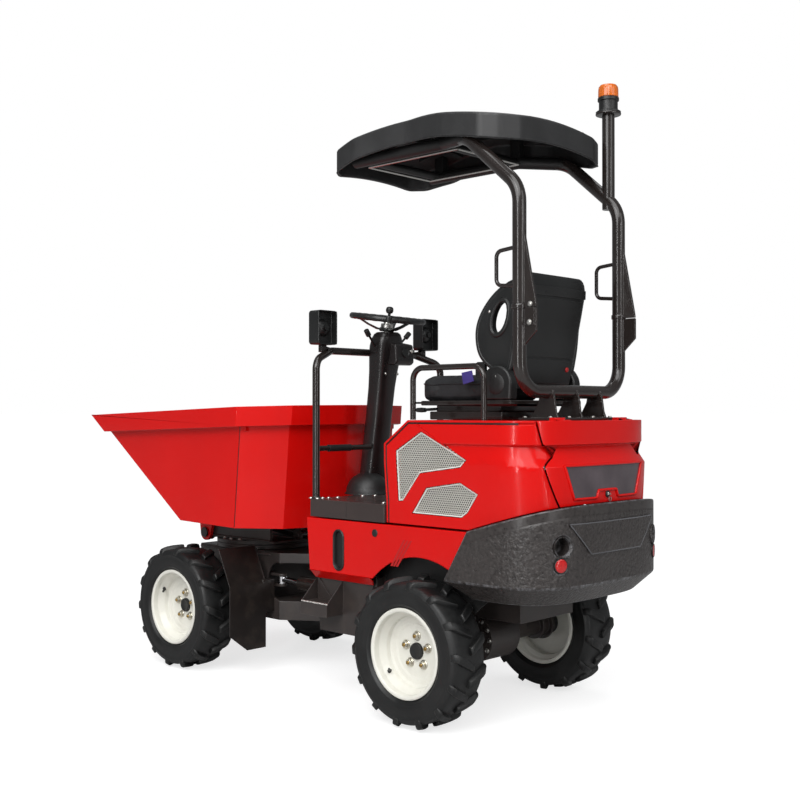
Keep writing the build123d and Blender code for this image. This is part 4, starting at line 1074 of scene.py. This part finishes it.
fitting("column_start_switch", joined(barrel, start_key), STEEL)

# Headlamps: lenses and bezels ahead of each box, and a lamp back behind it
LAMP_Y = 0.392
lenses = []
bezels = []
backs = []
for side in SIDES:
    for z in (1.829, 1.911):
        place = (-0.0855, side * LAMP_Y, z)
        lenses.append(turned([(0, 0), (0.031, 0), (0.031, 0.0035), (0.020, 0.0060), (0, 0.0070)],
                             place, FORWARD, 32))
        bezels.append(turned([(0.0305, -0.002), (0.0375, -0.002), (0.0375, 0.0050), (0.0350, 0.0072),
                              (0.0305, 0.0060)], place, FORWARD, 32, closed=True))
    backs.append(turned([(0, 0), (0.046, 0), (0.043, 0.006), (0.030, 0.016), (0.016, 0.020), (0.014, 0.032),
                         (0, 0.033)], (-0.1195, side * LAMP_Y, 1.870), REARWARD, 32))
fitting("headlamp_lenses", joined(*lenses), CLEAR_LENS)
fitting("headlamp_bezels", joined(*bezels))
fitting("headlamp_backs", joined(*backs))

# Beacon: flanged base, fluted amber lens and mast sleeve
MAST = (-1.333, -0.395, 0)
FLUTES = 24
LENS_LEVELS = ((0.0470, 2.9816), (0.0495, 2.9850), (0.0490, 3.0180), (0.0470, 3.0320), (0.0400, 3.0415),
               (0.0250, 3.0458), (0.0, 3.0468))


def fluted_lens():
    loops = []
    for radius, z in LENS_LEVELS:
        loop = []
        for k, a in enumerate(around(4 * FLUTES)):
            sunk = k % 4 < 2 and radius > 0.045
            reach = radius * (0.982 if sunk else 1)
            loop.append((reach * math.cos(a), reach * math.sin(a), z))
        loops.append(loop)
    return skin(loops)


base = turned([(0, 2.9053), (0.0610, 2.9053), (0.0610, 2.9110), (0.0580, 2.9135), (0.0470, 2.9150),
               (0.0460, 2.9300), (0.0460, 2.9620), (0.0520, 2.9650), (0.0520, 2.9780), (0.0490, 2.9815),
               (0, 2.9815)], MAST, UP, 44)
obj = piece("beacon_base", base, "rear_frame", "amber_lens", PLASTIC)
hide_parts("beacon")
piece("beacon_lens", moved(fluted_lens(), Matrix.Translation(MAST)), "rear_frame", "amber_lens", AMBER, 25)
sleeve = turned([(0, 2.430), (0.0300, 2.430), (0.0305, 2.440), (0.0305, 2.8930), (0.0290, 2.8945),
                 (0, 2.8945)], MAST, UP, 32)
piece("beacon_mast_sleeve", sleeve, "rear_frame", "black_paint", BAR_BLACK)


# Canopy: ribs under the roof and roof bars in a darker copy of the roof plastic as painted shade, and bright
# rails
ROOF_RADIUS = 2.2
ROOF_TOP = 2.878
ROOF_MIDDLE = -0.7


def roof(x, y, drop=0.0):
    """Height of the domed roof, or of a dome that lies below it."""
    return ROOF_TOP - ROOF_RADIUS + math.sqrt((ROOF_RADIUS - drop) ** 2 - (x - ROOF_MIDDLE) ** 2 - y * y)


def roof_ribs():
    ribs = []
    for y in (-0.20, -0.07, 0.07, 0.20):
        run = [-1.16 + 0.09 * i for i in range(11)]
        outline = [(x, roof(x, y, 0.0068)) for x in run] + [(x, roof(x, y, 0.030)) for x in reversed(run)]
        ribs.append(prism(outline, "y", y - 0.014, y + 0.014))
    for x in (-0.46, -0.985):
        run = [-0.30 + 0.06 * i for i in range(11)]
        outline = [(y, roof(x, y, 0.0068)) for y in run] + [(y, roof(x, y, 0.040)) for y in reversed(run)]
        ribs.append(prism(outline, "x", x - 0.020, x + 0.020))
    return joined(*ribs)


def keep_faces(node, name, test, material, width):
    """Eased copy of the part of a CAD node whose faces pass a test."""
    bm = cad_copy(node)
    bmesh.ops.triangulate(bm, faces=bm.faces)
    ease(bm, width, 2, 32)
    bmesh.ops.delete(bm, geom=[f for f in bm.faces if not test(f.calc_center_median())], context="FACES")
    return dress(name, finished_mesh(bm, name, 40), BODY_OF[node], material)


def roof_bar(co):
    return co.z > 2.672 and co.x > -1.085 - MIDDLE


obj = keep_faces("rops_upper", "rops_upper_frame", lambda co: not roof_bar(co), BAR_BLACK, 0.0025)
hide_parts("rops_upper")
keep_faces("rops_upper", "rops_upper_roof_bars", roof_bar, ROOF_SHADED_COPY, 0.0025)
RAIL_FRONT = -0.30
RAIL_REAR = -0.90
RAIL_Y = 0.235
RAIL_Z = 2.693
rail_corners = [(RAIL_FRONT, RAIL_Y), (RAIL_REAR, RAIL_Y), (RAIL_REAR, -RAIL_Y), (RAIL_FRONT, -RAIL_Y)]
rails = [tube([(*a, RAIL_Z), (*b, RAIL_Z)], 0.0055, 8) for a, b in pairs(rail_corners)]
fitting("canopy_rails", joined(*rails), STEEL)
fitting("canopy_ribs", roof_ribs(), ROOF_SHADED_COPY, edge=0.003)

# Roll bar: collars at the split; weld runs here and on the chassis
BAR_X = -1.390
BAR_Y = 0.395
collar = turned([(0.0300, -0.010), (0.0345, -0.010), (0.0355, -0.008), (0.0355, 0.008), (0.0345, 0.010),
                 (0.0300, 0.010)], (BAR_X, BAR_Y, 1.8985), UP, 40, closed=True)
piece("rops_collars", both(collar), "rear_frame", "black_paint", BAR_BLACK)
SCALLOP = lathe([(0.0056, 0), (0.0052, 0.0018), (0.0036, 0.0034), (0, 0.0042)], 8)
SCALLOP_PITCH = 0.0048


def weld(name, runs, body, material, size=1.0):
    """Overlapping scallops of weld along straight runs."""
    places = []
    for a, b, out in runs:
        a, b = Vector(a), Vector(b)
        count = max(2, round((b - a).length / (SCALLOP_PITCH * size)))
        places += [facing(a.lerp(b, i / count), out) for i in range(count + 1)]
    repeat(name, SCALLOP, places, body, material, [size] * len(places), smooth=70)


runs = []
for side in SIDES:
    for face in (BAR_Y + 0.0055, BAR_Y - 0.0055):
        out = (0.35, side if face > BAR_Y else -side, 0)
        y = side * face
        for low, high in ((1.735, 1.884), (1.915, 2.224)):
            runs.append(((-1.4165, y, low), (-1.4165, y, high), out))
weld("rops_welds", runs, "rear_frame", BAR_BLACK)
runs = [((BAR_X - 0.045, y + d, 1.4125), (BAR_X + 0.085, y + d, 1.4125), (0, d, 0.006))
        for y in (-0.19, 0, 0.19) for d in (0.0065, -0.0065)]
weld("rops_foot_welds", runs, "rear_frame", BAR_BLACK)
runs = [((0.47, side * 0.2505, 0.6395), (1.10, side * 0.2505, 0.6395), (0, side, -0.3)) for side in SIDES]
runs += [((0.3885, y, 0.600), (0.3885, y + 0.09, 0.600), (-1, 0, -0.3)) for y in (-0.24, 0.15)]
weld("front_chassis_welds", runs, "front_frame", FRAME_BROWN, 1.4)
runs = [((0.4385, side * 0.2515, 0.335), (0.4385, side * 0.2515, 0.505), (-0.6, side, 0)) for side in SIDES]
runs += [((0.435, side * 0.312, 0.495), (0.534, side * 0.312, 0.691), (-0.89, 0, 0.45)) for side in SIDES]
weld("mudguard_welds", runs, "front_frame", FRAME_BROWN, 1.1)
runs = [((0.475, side * 0.2515, 0.7135), (0.985, side * 0.2515, 0.7135), (0, side, 0.5)) for side in SIDES]
weld("turntable_welds", runs, "turntable", FRAME_BROWN, 1.2)

# Bolts and screws
DECK_TOP = 1.0002
DECK_BOLTS = ((-0.232, 0.215), (-0.258, 0.150), (-0.262, 0.060), (-0.195, 0.420), (-0.215, 0.375),
              (-0.620, 0.455), (-0.620, 0.150))
BRACKET_BOLTS = ((-1.451, 0.4010, 1.906), (-1.453, 0.4090, 1.826))
RING_X = 0.8
RING_BOLTS = 0.262
places = []
for side in SIDES:
    places += [facing((x, side * y, z), (0, side, 0)) for x, y, z in BRACKET_BOLTS]
    places += [facing((x, side * y, 1.4120), UP) for x in (-1.440, -1.300) for y in (0.095, 0.238)]
repeat("rops_bolts", HEX_BOLT, places, "rear_frame", STEEL, edge=0.0006)
places = [facing((x, side * y, DECK_TOP), UP) for x, y in DECK_BOLTS for side in SIDES]
for side in SIDES:
    for a in around(4, math.pi / 4):
        inward = side * math.sin(a) < 0
        across = (0.034 if inward else 0.017) * math.sin(a)
        places.append(facing((-0.160 + 0.034 * math.cos(a), side * 0.474 + across, DECK_TOP), UP))
repeat("deck_dome_bolts", DOME_BOLT, places, "rear_frame", STEEL, [1.3] * len(places), smooth=50)
places = [facing((-0.2335, side * 0.045, 1.640), (-1, 0, 0.1)) for side in SIDES]
places += [facing((-1.105, side * 0.2502, 1.903), (0, side, 0)) for side in SIDES]
places += [facing((-1.165, side * 0.2784, 1.600), (0, side, 0)) for side in SIDES]
repeat("trim_screws", DOME_BOLT, places, "rear_frame", STEEL, [0.75] * len(places),
       smooth=50)
places = [facing((RING_X + RING_BOLTS * math.cos(a), RING_BOLTS * math.sin(a), 0.7010), UP)
          for a in around(24) if abs(RING_BOLTS * math.sin(a)) > 0.2515]
places += [facing((x, side * 0.215, 0.7120), UP) for x in (0.60, 0.72, 0.84, 0.96) for side in SIDES]
repeat("turntable_bolts", HEX_BOLT, places, "turntable", STEEL, [1.3] * len(places),
       edge=0.0006)
places = [facing((x, side * 0.29, roof(x, 0.29) + 0.0002), (x - ROOF_MIDDLE, side * 0.29, 2.1))
          for x in (-0.33, -0.85) for side in SIDES]
repeat("canopy_bolts", HEX_BOLT, places, "rear_frame", STEEL, edge=0.0006)

# Deck and steps: tread bars in alternate directions, teeth along the step's edge, gussets and seams
TREAD_GAP = 0.032
TREAD_BAR = moved(lathe([(0, 0.0016), (0.35, 0.0014), (0.7, 0.0010), (1.0, 0)], 10),
                  Matrix.Diagonal((0.011, 0.0032, 1, 1)))
TOOTH = prism([(-0.0048, 0), (0.0048, 0), (0.0016, 0.0075), (-0.0016, 0.0075)], "y", -0.003, 0.003)
bars = []
for i in range(13):
    slant = Matrix.Rotation(math.radians(45 if i % 2 else -45), 4, "Z")
    bars += [Matrix.Translation((-0.235 - TREAD_GAP * i, TREAD_GAP * j, 1.0001)) @ slant
             for j in range(-13, 14) if (i + j) % 2 == 0]
repeat("deck_tread_bars", TREAD_BAR, bars, "rear_frame", DECK_GREY, smooth=60)
teeth = [Matrix.Translation((-0.143 - 0.0108 * i, side * 0.553, 0.4898)) for i in range(18) for side in SIDES]
repeat("step_teeth", TOOTH, teeth, "rear_frame", STEEL, edge=0.0006)
gusset = prism([(-0.150, 0.440), (-0.150, 0.600), (-0.158, 0.600), (-0.250, 0.505), (-0.250, 0.498)],
               "y", 0.4465, 0.4520)
piece("step_gussets", both(gusset), "rear_frame", "frame_paint", FRAME_BROWN, edge=0.0012)
seam_and_painted_shadow = box(-0.4082, -0.4064, 0.4990, 0.5003, 0.914, 0.997)
piece("deck_seams", both(seam_and_painted_shadow), "rear_frame", "deck_grey", DARK_RUBBER_AND_SHADE)

# Handrail grips and seat levers
grip = turned([(0, 0), (0.0170, 0), (0.0185, 0.003), (0.0185, 0.008), (0.0172, 0.011), (0.0172, 0.146),
               (0.0185, 0.149), (0.0185, 0.154), (0.0170, 0.157), (0, 0.157)],
              (-0.160, 0.235, 1.252), LEFT, 24)
piece("handrail_grips", both(grip), "rear_frame", "black_paint", DARK_RUBBER_AND_SHADE)
levers = joined(tube([(-0.585, 0.155, 1.447), (-0.70, 0.150, 1.452)], 0.0075, 10),
                tube([(-0.600, 0.225, 1.482), (-0.72, 0.215, 1.482)], 0.0050, 8),
                turned([(0, -0.03), (0.011, -0.028), (0.0125, 0), (0.011, 0.028), (0, 0.03)],
                       (-0.590, 0.155, 1.447), FORWARD, 16))
fitting("seat_levers", levers)

# Side panels: dark tube in the gap along the front and top edges, painted shade in the gap
PANEL_EDGE = [(-0.683, 0.918), (-0.683, 1.2818), (-0.8278, 1.386), (-1.485, 1.386)]
gap_shade_line = []
for p in walk(PANEL_EDGE, 1.0, 16, closed=False):
    sink = 0.0042 * (1 - min(1, max(0, (-1.26 - p.x) / 0.15)))
    gap_shade_line.append((p.x, side_at(p.x, p.y) - sink, p.y))
piece("side_panel_gap_seals", both(tube(gap_shade_line, 0.0040, 6)), "rear_frame", "red_paint", DARK_RUBBER_AND_SHADE)

# Wheel arches: dark plates inside the sills, painted shade in the arches
REAR_AXLE = (-AXLE_X, AXLE_Z)
arch_shade_plate = prism(arc(REAR_AXLE, 0.480, 38, 142, 24) + arc(REAR_AXLE, 0.300, 142, 38, 24), "y", 0.380, 0.385)
fitting("wheel_arch_liners", both(arch_shade_plate), DARK_RUBBER_AND_SHADE)

# Axles: ring of bolts round each differential
for end, x in (("front", AXLE_X), ("rear", -AXLE_X)):
    ring = []
    for side in SIDES:
        for a in around(12):
            spot = (x + 0.098 * math.cos(a), side * 0.1101, AXLE_Z + 0.098 * math.sin(a))
            ring.append(facing(spot, (0, side, 0)))
    repeat(end + "_axle_bolts", HEX_BOLT, ring, end + "_frame", STEEL, edge=0.0006)


# Seat shell: curved back, looped side wings and arched pivot covers
BACK_FOOT = 1.545
BACK_X = -1.235
BACK_LEAN = 0.070 / 0.485
BACK_OUT = Vector((-0.485, 0, -0.070)).normalized()
BACK_LEVELS = (1.547, 1.560, 1.60, 1.70, 1.80, 1.90, 1.98, 2.02, 2.045, 2.062, 2.072, 2.077)
BACK_HALF = 0.254
BACK_HALF_DEPTH = 0.0222
WING = [(-1.258, 2.014), (-1.185, 2.008), (-1.120, 1.965), (-1.066, 1.905), (-1.034, 1.840), (-1.029, 1.775),
        (-1.045, 1.712), (-1.085, 1.665), (-1.140, 1.634), (-1.205, 1.622), (-1.228, 1.680), (-1.246, 1.800)]
WING_EYE = Vector((-1.160, 1.855))
HOLE_MIDDLE = Vector((-1.166, 1.872))
HOLE_ALONG = Vector((-0.34, 0.94))
HOLE_ACROSS = Vector((0.94, 0.34))


def back_line(z):
    """Rear face of the leaning seat back at a height."""
    return BACK_X - BACK_LEAN * (z - BACK_FOOT)


def shell_back():
    """Back shell that narrows downward and closes in at its top."""
    loops = []
    for z in BACK_LEVELS:
        close = max(0.0, (z - 2.012) / 0.0665)
        shrink = (1 - close ** 2.6) ** (1 / 2.6)
        half = min(BACK_HALF, BACK_HALF + 0.1158 * (z - 1.960)) - 0.050 * (1 - shrink)
        depth = BACK_HALF_DEPTH * (0.25 + 0.75 * shrink)
        middle = back_line(z) + BACK_HALF_DEPTH + 0.012 * close
        loops.append(rounded_ring(middle, depth, half, z, 0.4, 64))
    return skin(loops)


def smooth_loop(outline, count):
    """Points of a closed curve through an outline's corners."""
    size = len(outline)
    points = []
    for i in range(size):
        a, b, c, d = (Vector(outline[(i + k) % size]) for k in (-1, 0, 1, 2))
        for t in (j / count for j in range(count)):
            bend = (2 * a - 5 * b + 4 * c - d) * t * t + (3 * b - a - 3 * c + d) * t ** 3
            points.append(0.5 * (2 * b + (c - a) * t + bend))
    return [(p.x, p.y) for p in points]


def wing_hole(wing):
    """Leaning oval with a point for each point of the wing's outline."""
    hole = []
    for x, z in wing:
        ray = Vector((x, z)) - WING_EYE
        turn = math.atan2(ray.dot(HOLE_ALONG), ray.dot(HOLE_ACROSS))
        spot = HOLE_MIDDLE + HOLE_ACROSS * 0.036 * math.cos(turn) + HOLE_ALONG * 0.072 * math.sin(turn)
        hole.append((spot.x, spot.y))
    return hole


obj = fitting("seat_shell_back", shell_back(), smooth=50)
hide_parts("seat_shell")
wing = smooth_loop(WING, 5)
hole = wing_hole(wing)
wing_section = ((wing, 0.218), (hole, 0.218), (hole, 0.251), (wing, 0.251))
wings = skin([[(x, y, z) for x, z in loop] for loop, y in wing_section], wrap=True)
fitting("seat_shell_wings", both(wings), smooth=50, edge=0.010, segments=4, angle=60)
welt = []
for inside, outside in zip(hole, wing):
    spot = Vector(inside) + (Vector(outside) - Vector(inside)).normalized() * 0.012
    welt.append((spot.x, 0.2475, spot.y))
fitting("seat_shell_loops", both(tube(welt, 0.0125, 12, closed=True)), smooth=60)
rolled = tube([(x, 0.2405, z) for x, z in wing], 0.0125, 12, closed=True)
fitting("seat_shell_rolled_edges", both(rolled), smooth=60)
PIVOT = (-1.1645, 1.568)
arch = [(-1.245, 1.4926), (-1.085, 1.4926), (-1.080, 1.560)]
arch += arc(PIVOT, 0.0845, 5, 175, 14) + [(-1.248, 1.560)]
arches = both(prism(arch, "y", 0.222, 0.278))
fitting("seat_shell_arches", arches, smooth=50, edge=0.010, segments=4, angle=50)
disc = turned([(0, -0.004), (0.048, -0.004), (0.048, 0.0015), (0.044, 0.0042), (0.020, 0.0058), (0, 0.0060)],
              (-1.1645, 0.2775, 1.566), LEFT, 36)
fitting("seat_shell_discs", both(disc), DARK_RUBBER_AND_SHADE)


# Seat shell: cap strip with dark patches of painted shade for its two slot openings, panel, foot and button
def on_back(z, y, lift):
    return Vector((back_line(z), y, z)) + BACK_OUT * lift


def back_strip(z0, z1, half0, half1, lift, shift=0.0):
    """Thin pad on the seat's back between two heights."""
    ring = [(z0, -half0), (z0, half0), (z1, half1), (z1, -half1)]
    return skin([[on_back(z, y + shift, out) for z, y in ring] for out in (lift, -0.004)])


fitting("seat_shell_cap", back_strip(1.978, 2.020, 0.238, 0.232, 0.0085), edge=0.003)
slot_shade_patches = [back_strip(1.990, 2.003, 0.005, 0.005, 0.0092, side * 0.085) for side in SIDES]
fitting("seat_shell_slots", joined(*slot_shade_patches), DARK_RUBBER_AND_SHADE)
fitting("seat_shell_panel", back_strip(1.694, 1.966, 0.196, 0.222, 0.0045), edge=0.0025)
fitting("seat_shell_foot", back_strip(1.572, 1.686, 0.186, 0.194, 0.0065), edge=0.003)
button = turned([(0, 0), (0.0115, 0), (0.0115, 0.004), (0.009, 0.006), (0, 0.0065)],
                on_back(1.640, -0.150, 0.0060), BACK_OUT, 24)
fitting("seat_shell_button", button, BUTTON_RED)

# Seat belt: buckle on a stalk, and a webbing tab
buckle = box(-1.075, -1.020, 0.2285, 0.2515, 1.600, 1.668)
stalk = tube([(-1.090, 0.240, 1.505), (-1.075, 0.240, 1.545), (-1.052, 0.240, 1.604)], 0.009, 10)
fitting("seat_buckle", joined(buckle, stalk), edge=0.003)
fitting("seat_buckle_button", box(-1.068, -1.027, 0.2325, 0.2475, 1.664, 1.6715), DARK_RUBBER_AND_SHADE, edge=0.002)
strap = prism([(-0.990, 1.583), (-0.978, 1.634), (-0.914, 1.624), (-0.926, 1.568)], "y", 0.2225, 0.2275)
fitting("seat_strap_tab", strap, STRAP_VIOLET, edge=0.0015)

# Seat pads: filled like cloth over foam, then sewn
PAD_VOXEL = 0.0065
PAD_PRESSURE = 4.0
FILL_FRAMES = 20


def voxel_grid(obj):
    grid = obj.modifiers.new("grid", "REMESH")
    grid.mode = "VOXEL"
    grid.voxel_size = PAD_VOXEL


def soften(obj):
    obj.modifiers.new("smooth", "SMOOTH").iterations = 3
    fine = obj.modifiers.new("fine", "SUBSURF")
    fine.levels = fine.render_levels = 1


def fill(mesh, limit):
    """Blows a pad up as cloth and moves its points there, each no farther than the limit."""
    holder = bpy.data.objects.new("stuffing", mesh)
    scene.collection.objects.link(holder)
    cloth = holder.modifiers.new("cloth", "CLOTH")
    cloth.settings.quality = 5
    cloth.settings.mass = 0.3
    cloth.settings.use_pressure = True
    cloth.settings.uniform_pressure_force = PAD_PRESSURE
    cloth.settings.effector_weights.gravity = 0
    cloth.point_cache.frame_start = 1
    cloth.point_cache.frame_end = FILL_FRAMES
    for step in range(1, FILL_FRAMES + 1):
        scene.frame_set(step)
    blown = holder.evaluated_get(bpy.context.evaluated_depsgraph_get())
    for vert, full in zip(mesh.vertices, blown.to_mesh().vertices):
        move = full.co - vert.co
        if move.length > limit:
            move *= limit / move.length
        vert.co += move
    blown.to_mesh_clear()
    holder.modifiers.clear()
    bpy.data.objects.remove(holder)
    scene.frame_set(1)


def padded(node, shape, limit, channels):
    """Fills a pad, presses in its sewn channels, smooths it and returns its surface."""
    mesh = modified(mesh_of(shape, node, edge=0.022, segments=3), voxel_grid)
    fill(mesh, limit)
    for vert in mesh.vertices:
        vert.co += channels(vert.co)
    mesh = modified(mesh, soften)
    for poly in mesh.polygons:
        poly.use_smooth = True
    surface = BVHTree.FromPolygons([v.co.copy() for v in mesh.vertices],
                                   [list(p.vertices) for p in mesh.polygons])
    mesh.transform(TO_FRAME)
    obj = dress(node + "_pad", mesh, "rear_frame", VINYL)
    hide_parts(node)
    return surface


def groove(distance, depth, width=0.012):
    return depth * math.exp(-((distance / width) ** 2))


def cushion_channels(co):
    if co.z < 1.55:
        return Vector()
    lines = groove(abs(abs(co.y) - 0.11), 0.008)
    across = groove(abs(co.x + 0.70), 0.006) if abs(co.y) < 0.11 else 0
    return Vector((0, 0, -max(lines, across)))


def back_channels(co):
    if co.x + 1.19 + (co.z - 1.57) * 0.13 < 0.02:
        return Vector()
    nearest = min(abs(co.z - z) for z in (1.69, 1.80, 1.91))
    lines = groove(nearest, 0.007) if abs(co.y) < 0.14 else 0
    return Vector((-max(lines, groove(abs(abs(co.y) - 0.14), 0.007)), 0, 0))


CUSHION_REAR = -1.066
CUSHION_FRONT = -0.626
CUSHION_HALF = 0.216
PAD_INSET = 0.006
low, high, half = CUSHION_REAR + PAD_INSET, CUSHION_FRONT - PAD_INSET, CUSHION_HALF - PAD_INSET
cushion_surface = padded("seat_cushion", box(low, high, -half, half, 1.4966, 1.600), 0.016, cushion_channels)
back_pad = prism([(-1.187, 1.584), (-1.251, 2.044), (-1.232, 2.050), (-1.208, 2.040), (-1.163, 1.955),
                  (-1.126, 1.715), (-1.098, 1.606), (-1.118, 1.586)], "y", -0.210, 0.210)
padded("seat_back", back_pad, 0.011, back_channels)


def cushion_piping():
    """Sewn welt round the cushion that follows its surface."""
    corner = 0.05
    front, rear, side = CUSHION_FRONT - corner, CUSHION_REAR + corner, CUSHION_HALF - corner
    edge = []
    for k, centre in enumerate(((front, side), (rear, side), (rear, -side), (front, -side))):
        edge += [(x, y, 1.576) for x, y in arc(centre, corner, 90 * k, 90 * k + 90, 10)]
    path = []
    for point in walk(edge, 0.015):
        spot, normal, _, _ = cushion_surface.find_nearest(point)
        path.append(spot + normal * 0.0012)
    return tube(path, 0.0036, 8, closed=True)


piece("seat_cushion_piping", cushion_piping(), "rear_frame", "seat_vinyl", VINYL, 80)

# Studio
floor_mesh = bpy.data.meshes.new("floor")
floor_mesh.from_pydata([(-400, -400, 0), (400, -400, 0), (400, 400, 0), (-400, 400, 0)], [], [(0, 1, 2, 3)])
floor = bpy.data.objects.new("floor", floor_mesh)
scene.collection.objects.link(floor)
floor_mat, floor_tree, floor_shader = new_material("pale_floor")
floor_shader.inputs["Base Color"].default_value = (0.5, 0.5, 0.5, 1)
floor_shader.inputs["Roughness"].default_value = 0.8
floor_shader.inputs["Specular IOR Level"].default_value = 0.05
floor_shader.inputs["Emission Color"].default_value = (1, 1, 1, 1)
floor_seen = add(floor_tree, "ShaderNodeLightPath").outputs["Is Camera Ray"]
floor_glow = maths(floor_tree, "MULTIPLY", floor_seen, 0.72)
floor_tree.links.new(floor_glow, floor_shader.inputs["Emission Strength"])
floor_mesh.materials.append(floor_mat)

world = bpy.data.worlds.new("studio")
scene.world = world
world.use_nodes = True
studio = world.node_tree
soft = studio.nodes["Background"]
soft.inputs["Color"].default_value = (0.95, 0.97, 1.0, 1)
soft.inputs["Strength"].default_value = 0.22
backdrop = add(studio, "ShaderNodeBackground", Strength=1.0)
backdrop.inputs["Color"].default_value = (1, 1, 1, 1)
seen = add(studio, "ShaderNodeLightPath")
blend = add(studio, "ShaderNodeMixShader")
studio.links.new(seen.outputs["Is Camera Ray"], blend.inputs[0])
studio.links.new(soft.outputs[0], blend.inputs[1])
studio.links.new(backdrop.outputs[0], blend.inputs[2])
studio.links.new(blend.outputs[0], studio.nodes["World Output"].inputs["Surface"])


def area_light(name, place, target, size, power):
    data = bpy.data.lights.new(name, "AREA")
    data.shape = "RECTANGLE"
    data.size, data.size_y = size
    data.energy = power
    obj = bpy.data.objects.new(name, data)
    scene.collection.objects.link(obj)
    obj.location = place
    obj.rotation_euler = (Vector(target) - Vector(place)).to_track_quat("-Z", "Y").to_euler()
    obj.visible_camera = False


area_light("side_box", (-2.0, 6.0, 5.0), (-0.2, 0, 1.0), (5, 3), 185)
area_light("rear_box", (-6.5, -0.5, 4.0), (-0.8, 0, 1.0), (2.5, 3), 40)
area_light("left_strip", (-2.4, 6.0, 1.9), (-0.7, 0, 1.7), (0.35, 3.6), 75)
area_light("right_strip", (-6.6, 0.9, 2.0), (-0.9, 0, 1.7), (0.30, 3.4), 36)
area_light("overhead", (-0.5, 0, 7.0), (0, 0, 0), (6, 2), 100)
sun_data = bpy.data.lights.new("even_light", "SUN")
sun_data.energy = 1.8
sun_data.angle = math.radians(50)
sun = bpy.data.objects.new("even_light", sun_data)
scene.collection.objects.link(sun)
sun.rotation_euler = Vector((0.6, -0.7, -0.9)).to_track_quat("-Z", "Y").to_euler()

camera_data = bpy.data.cameras.new("camera")
camera_data.lens = LENS
camera_data.sensor_width = 36
camera = bpy.data.objects.new("camera", camera_data)
scene.collection.objects.link(camera)
camera.location = EYE
look = Vector((math.cos(YAW) * math.cos(PITCH), math.sin(YAW) * math.cos(PITCH), math.sin(PITCH)))
camera.rotation_euler = look.to_track_quat("-Z", "Y").to_euler()
scene.camera = camera
scene.view_settings.view_transform = "Standard"
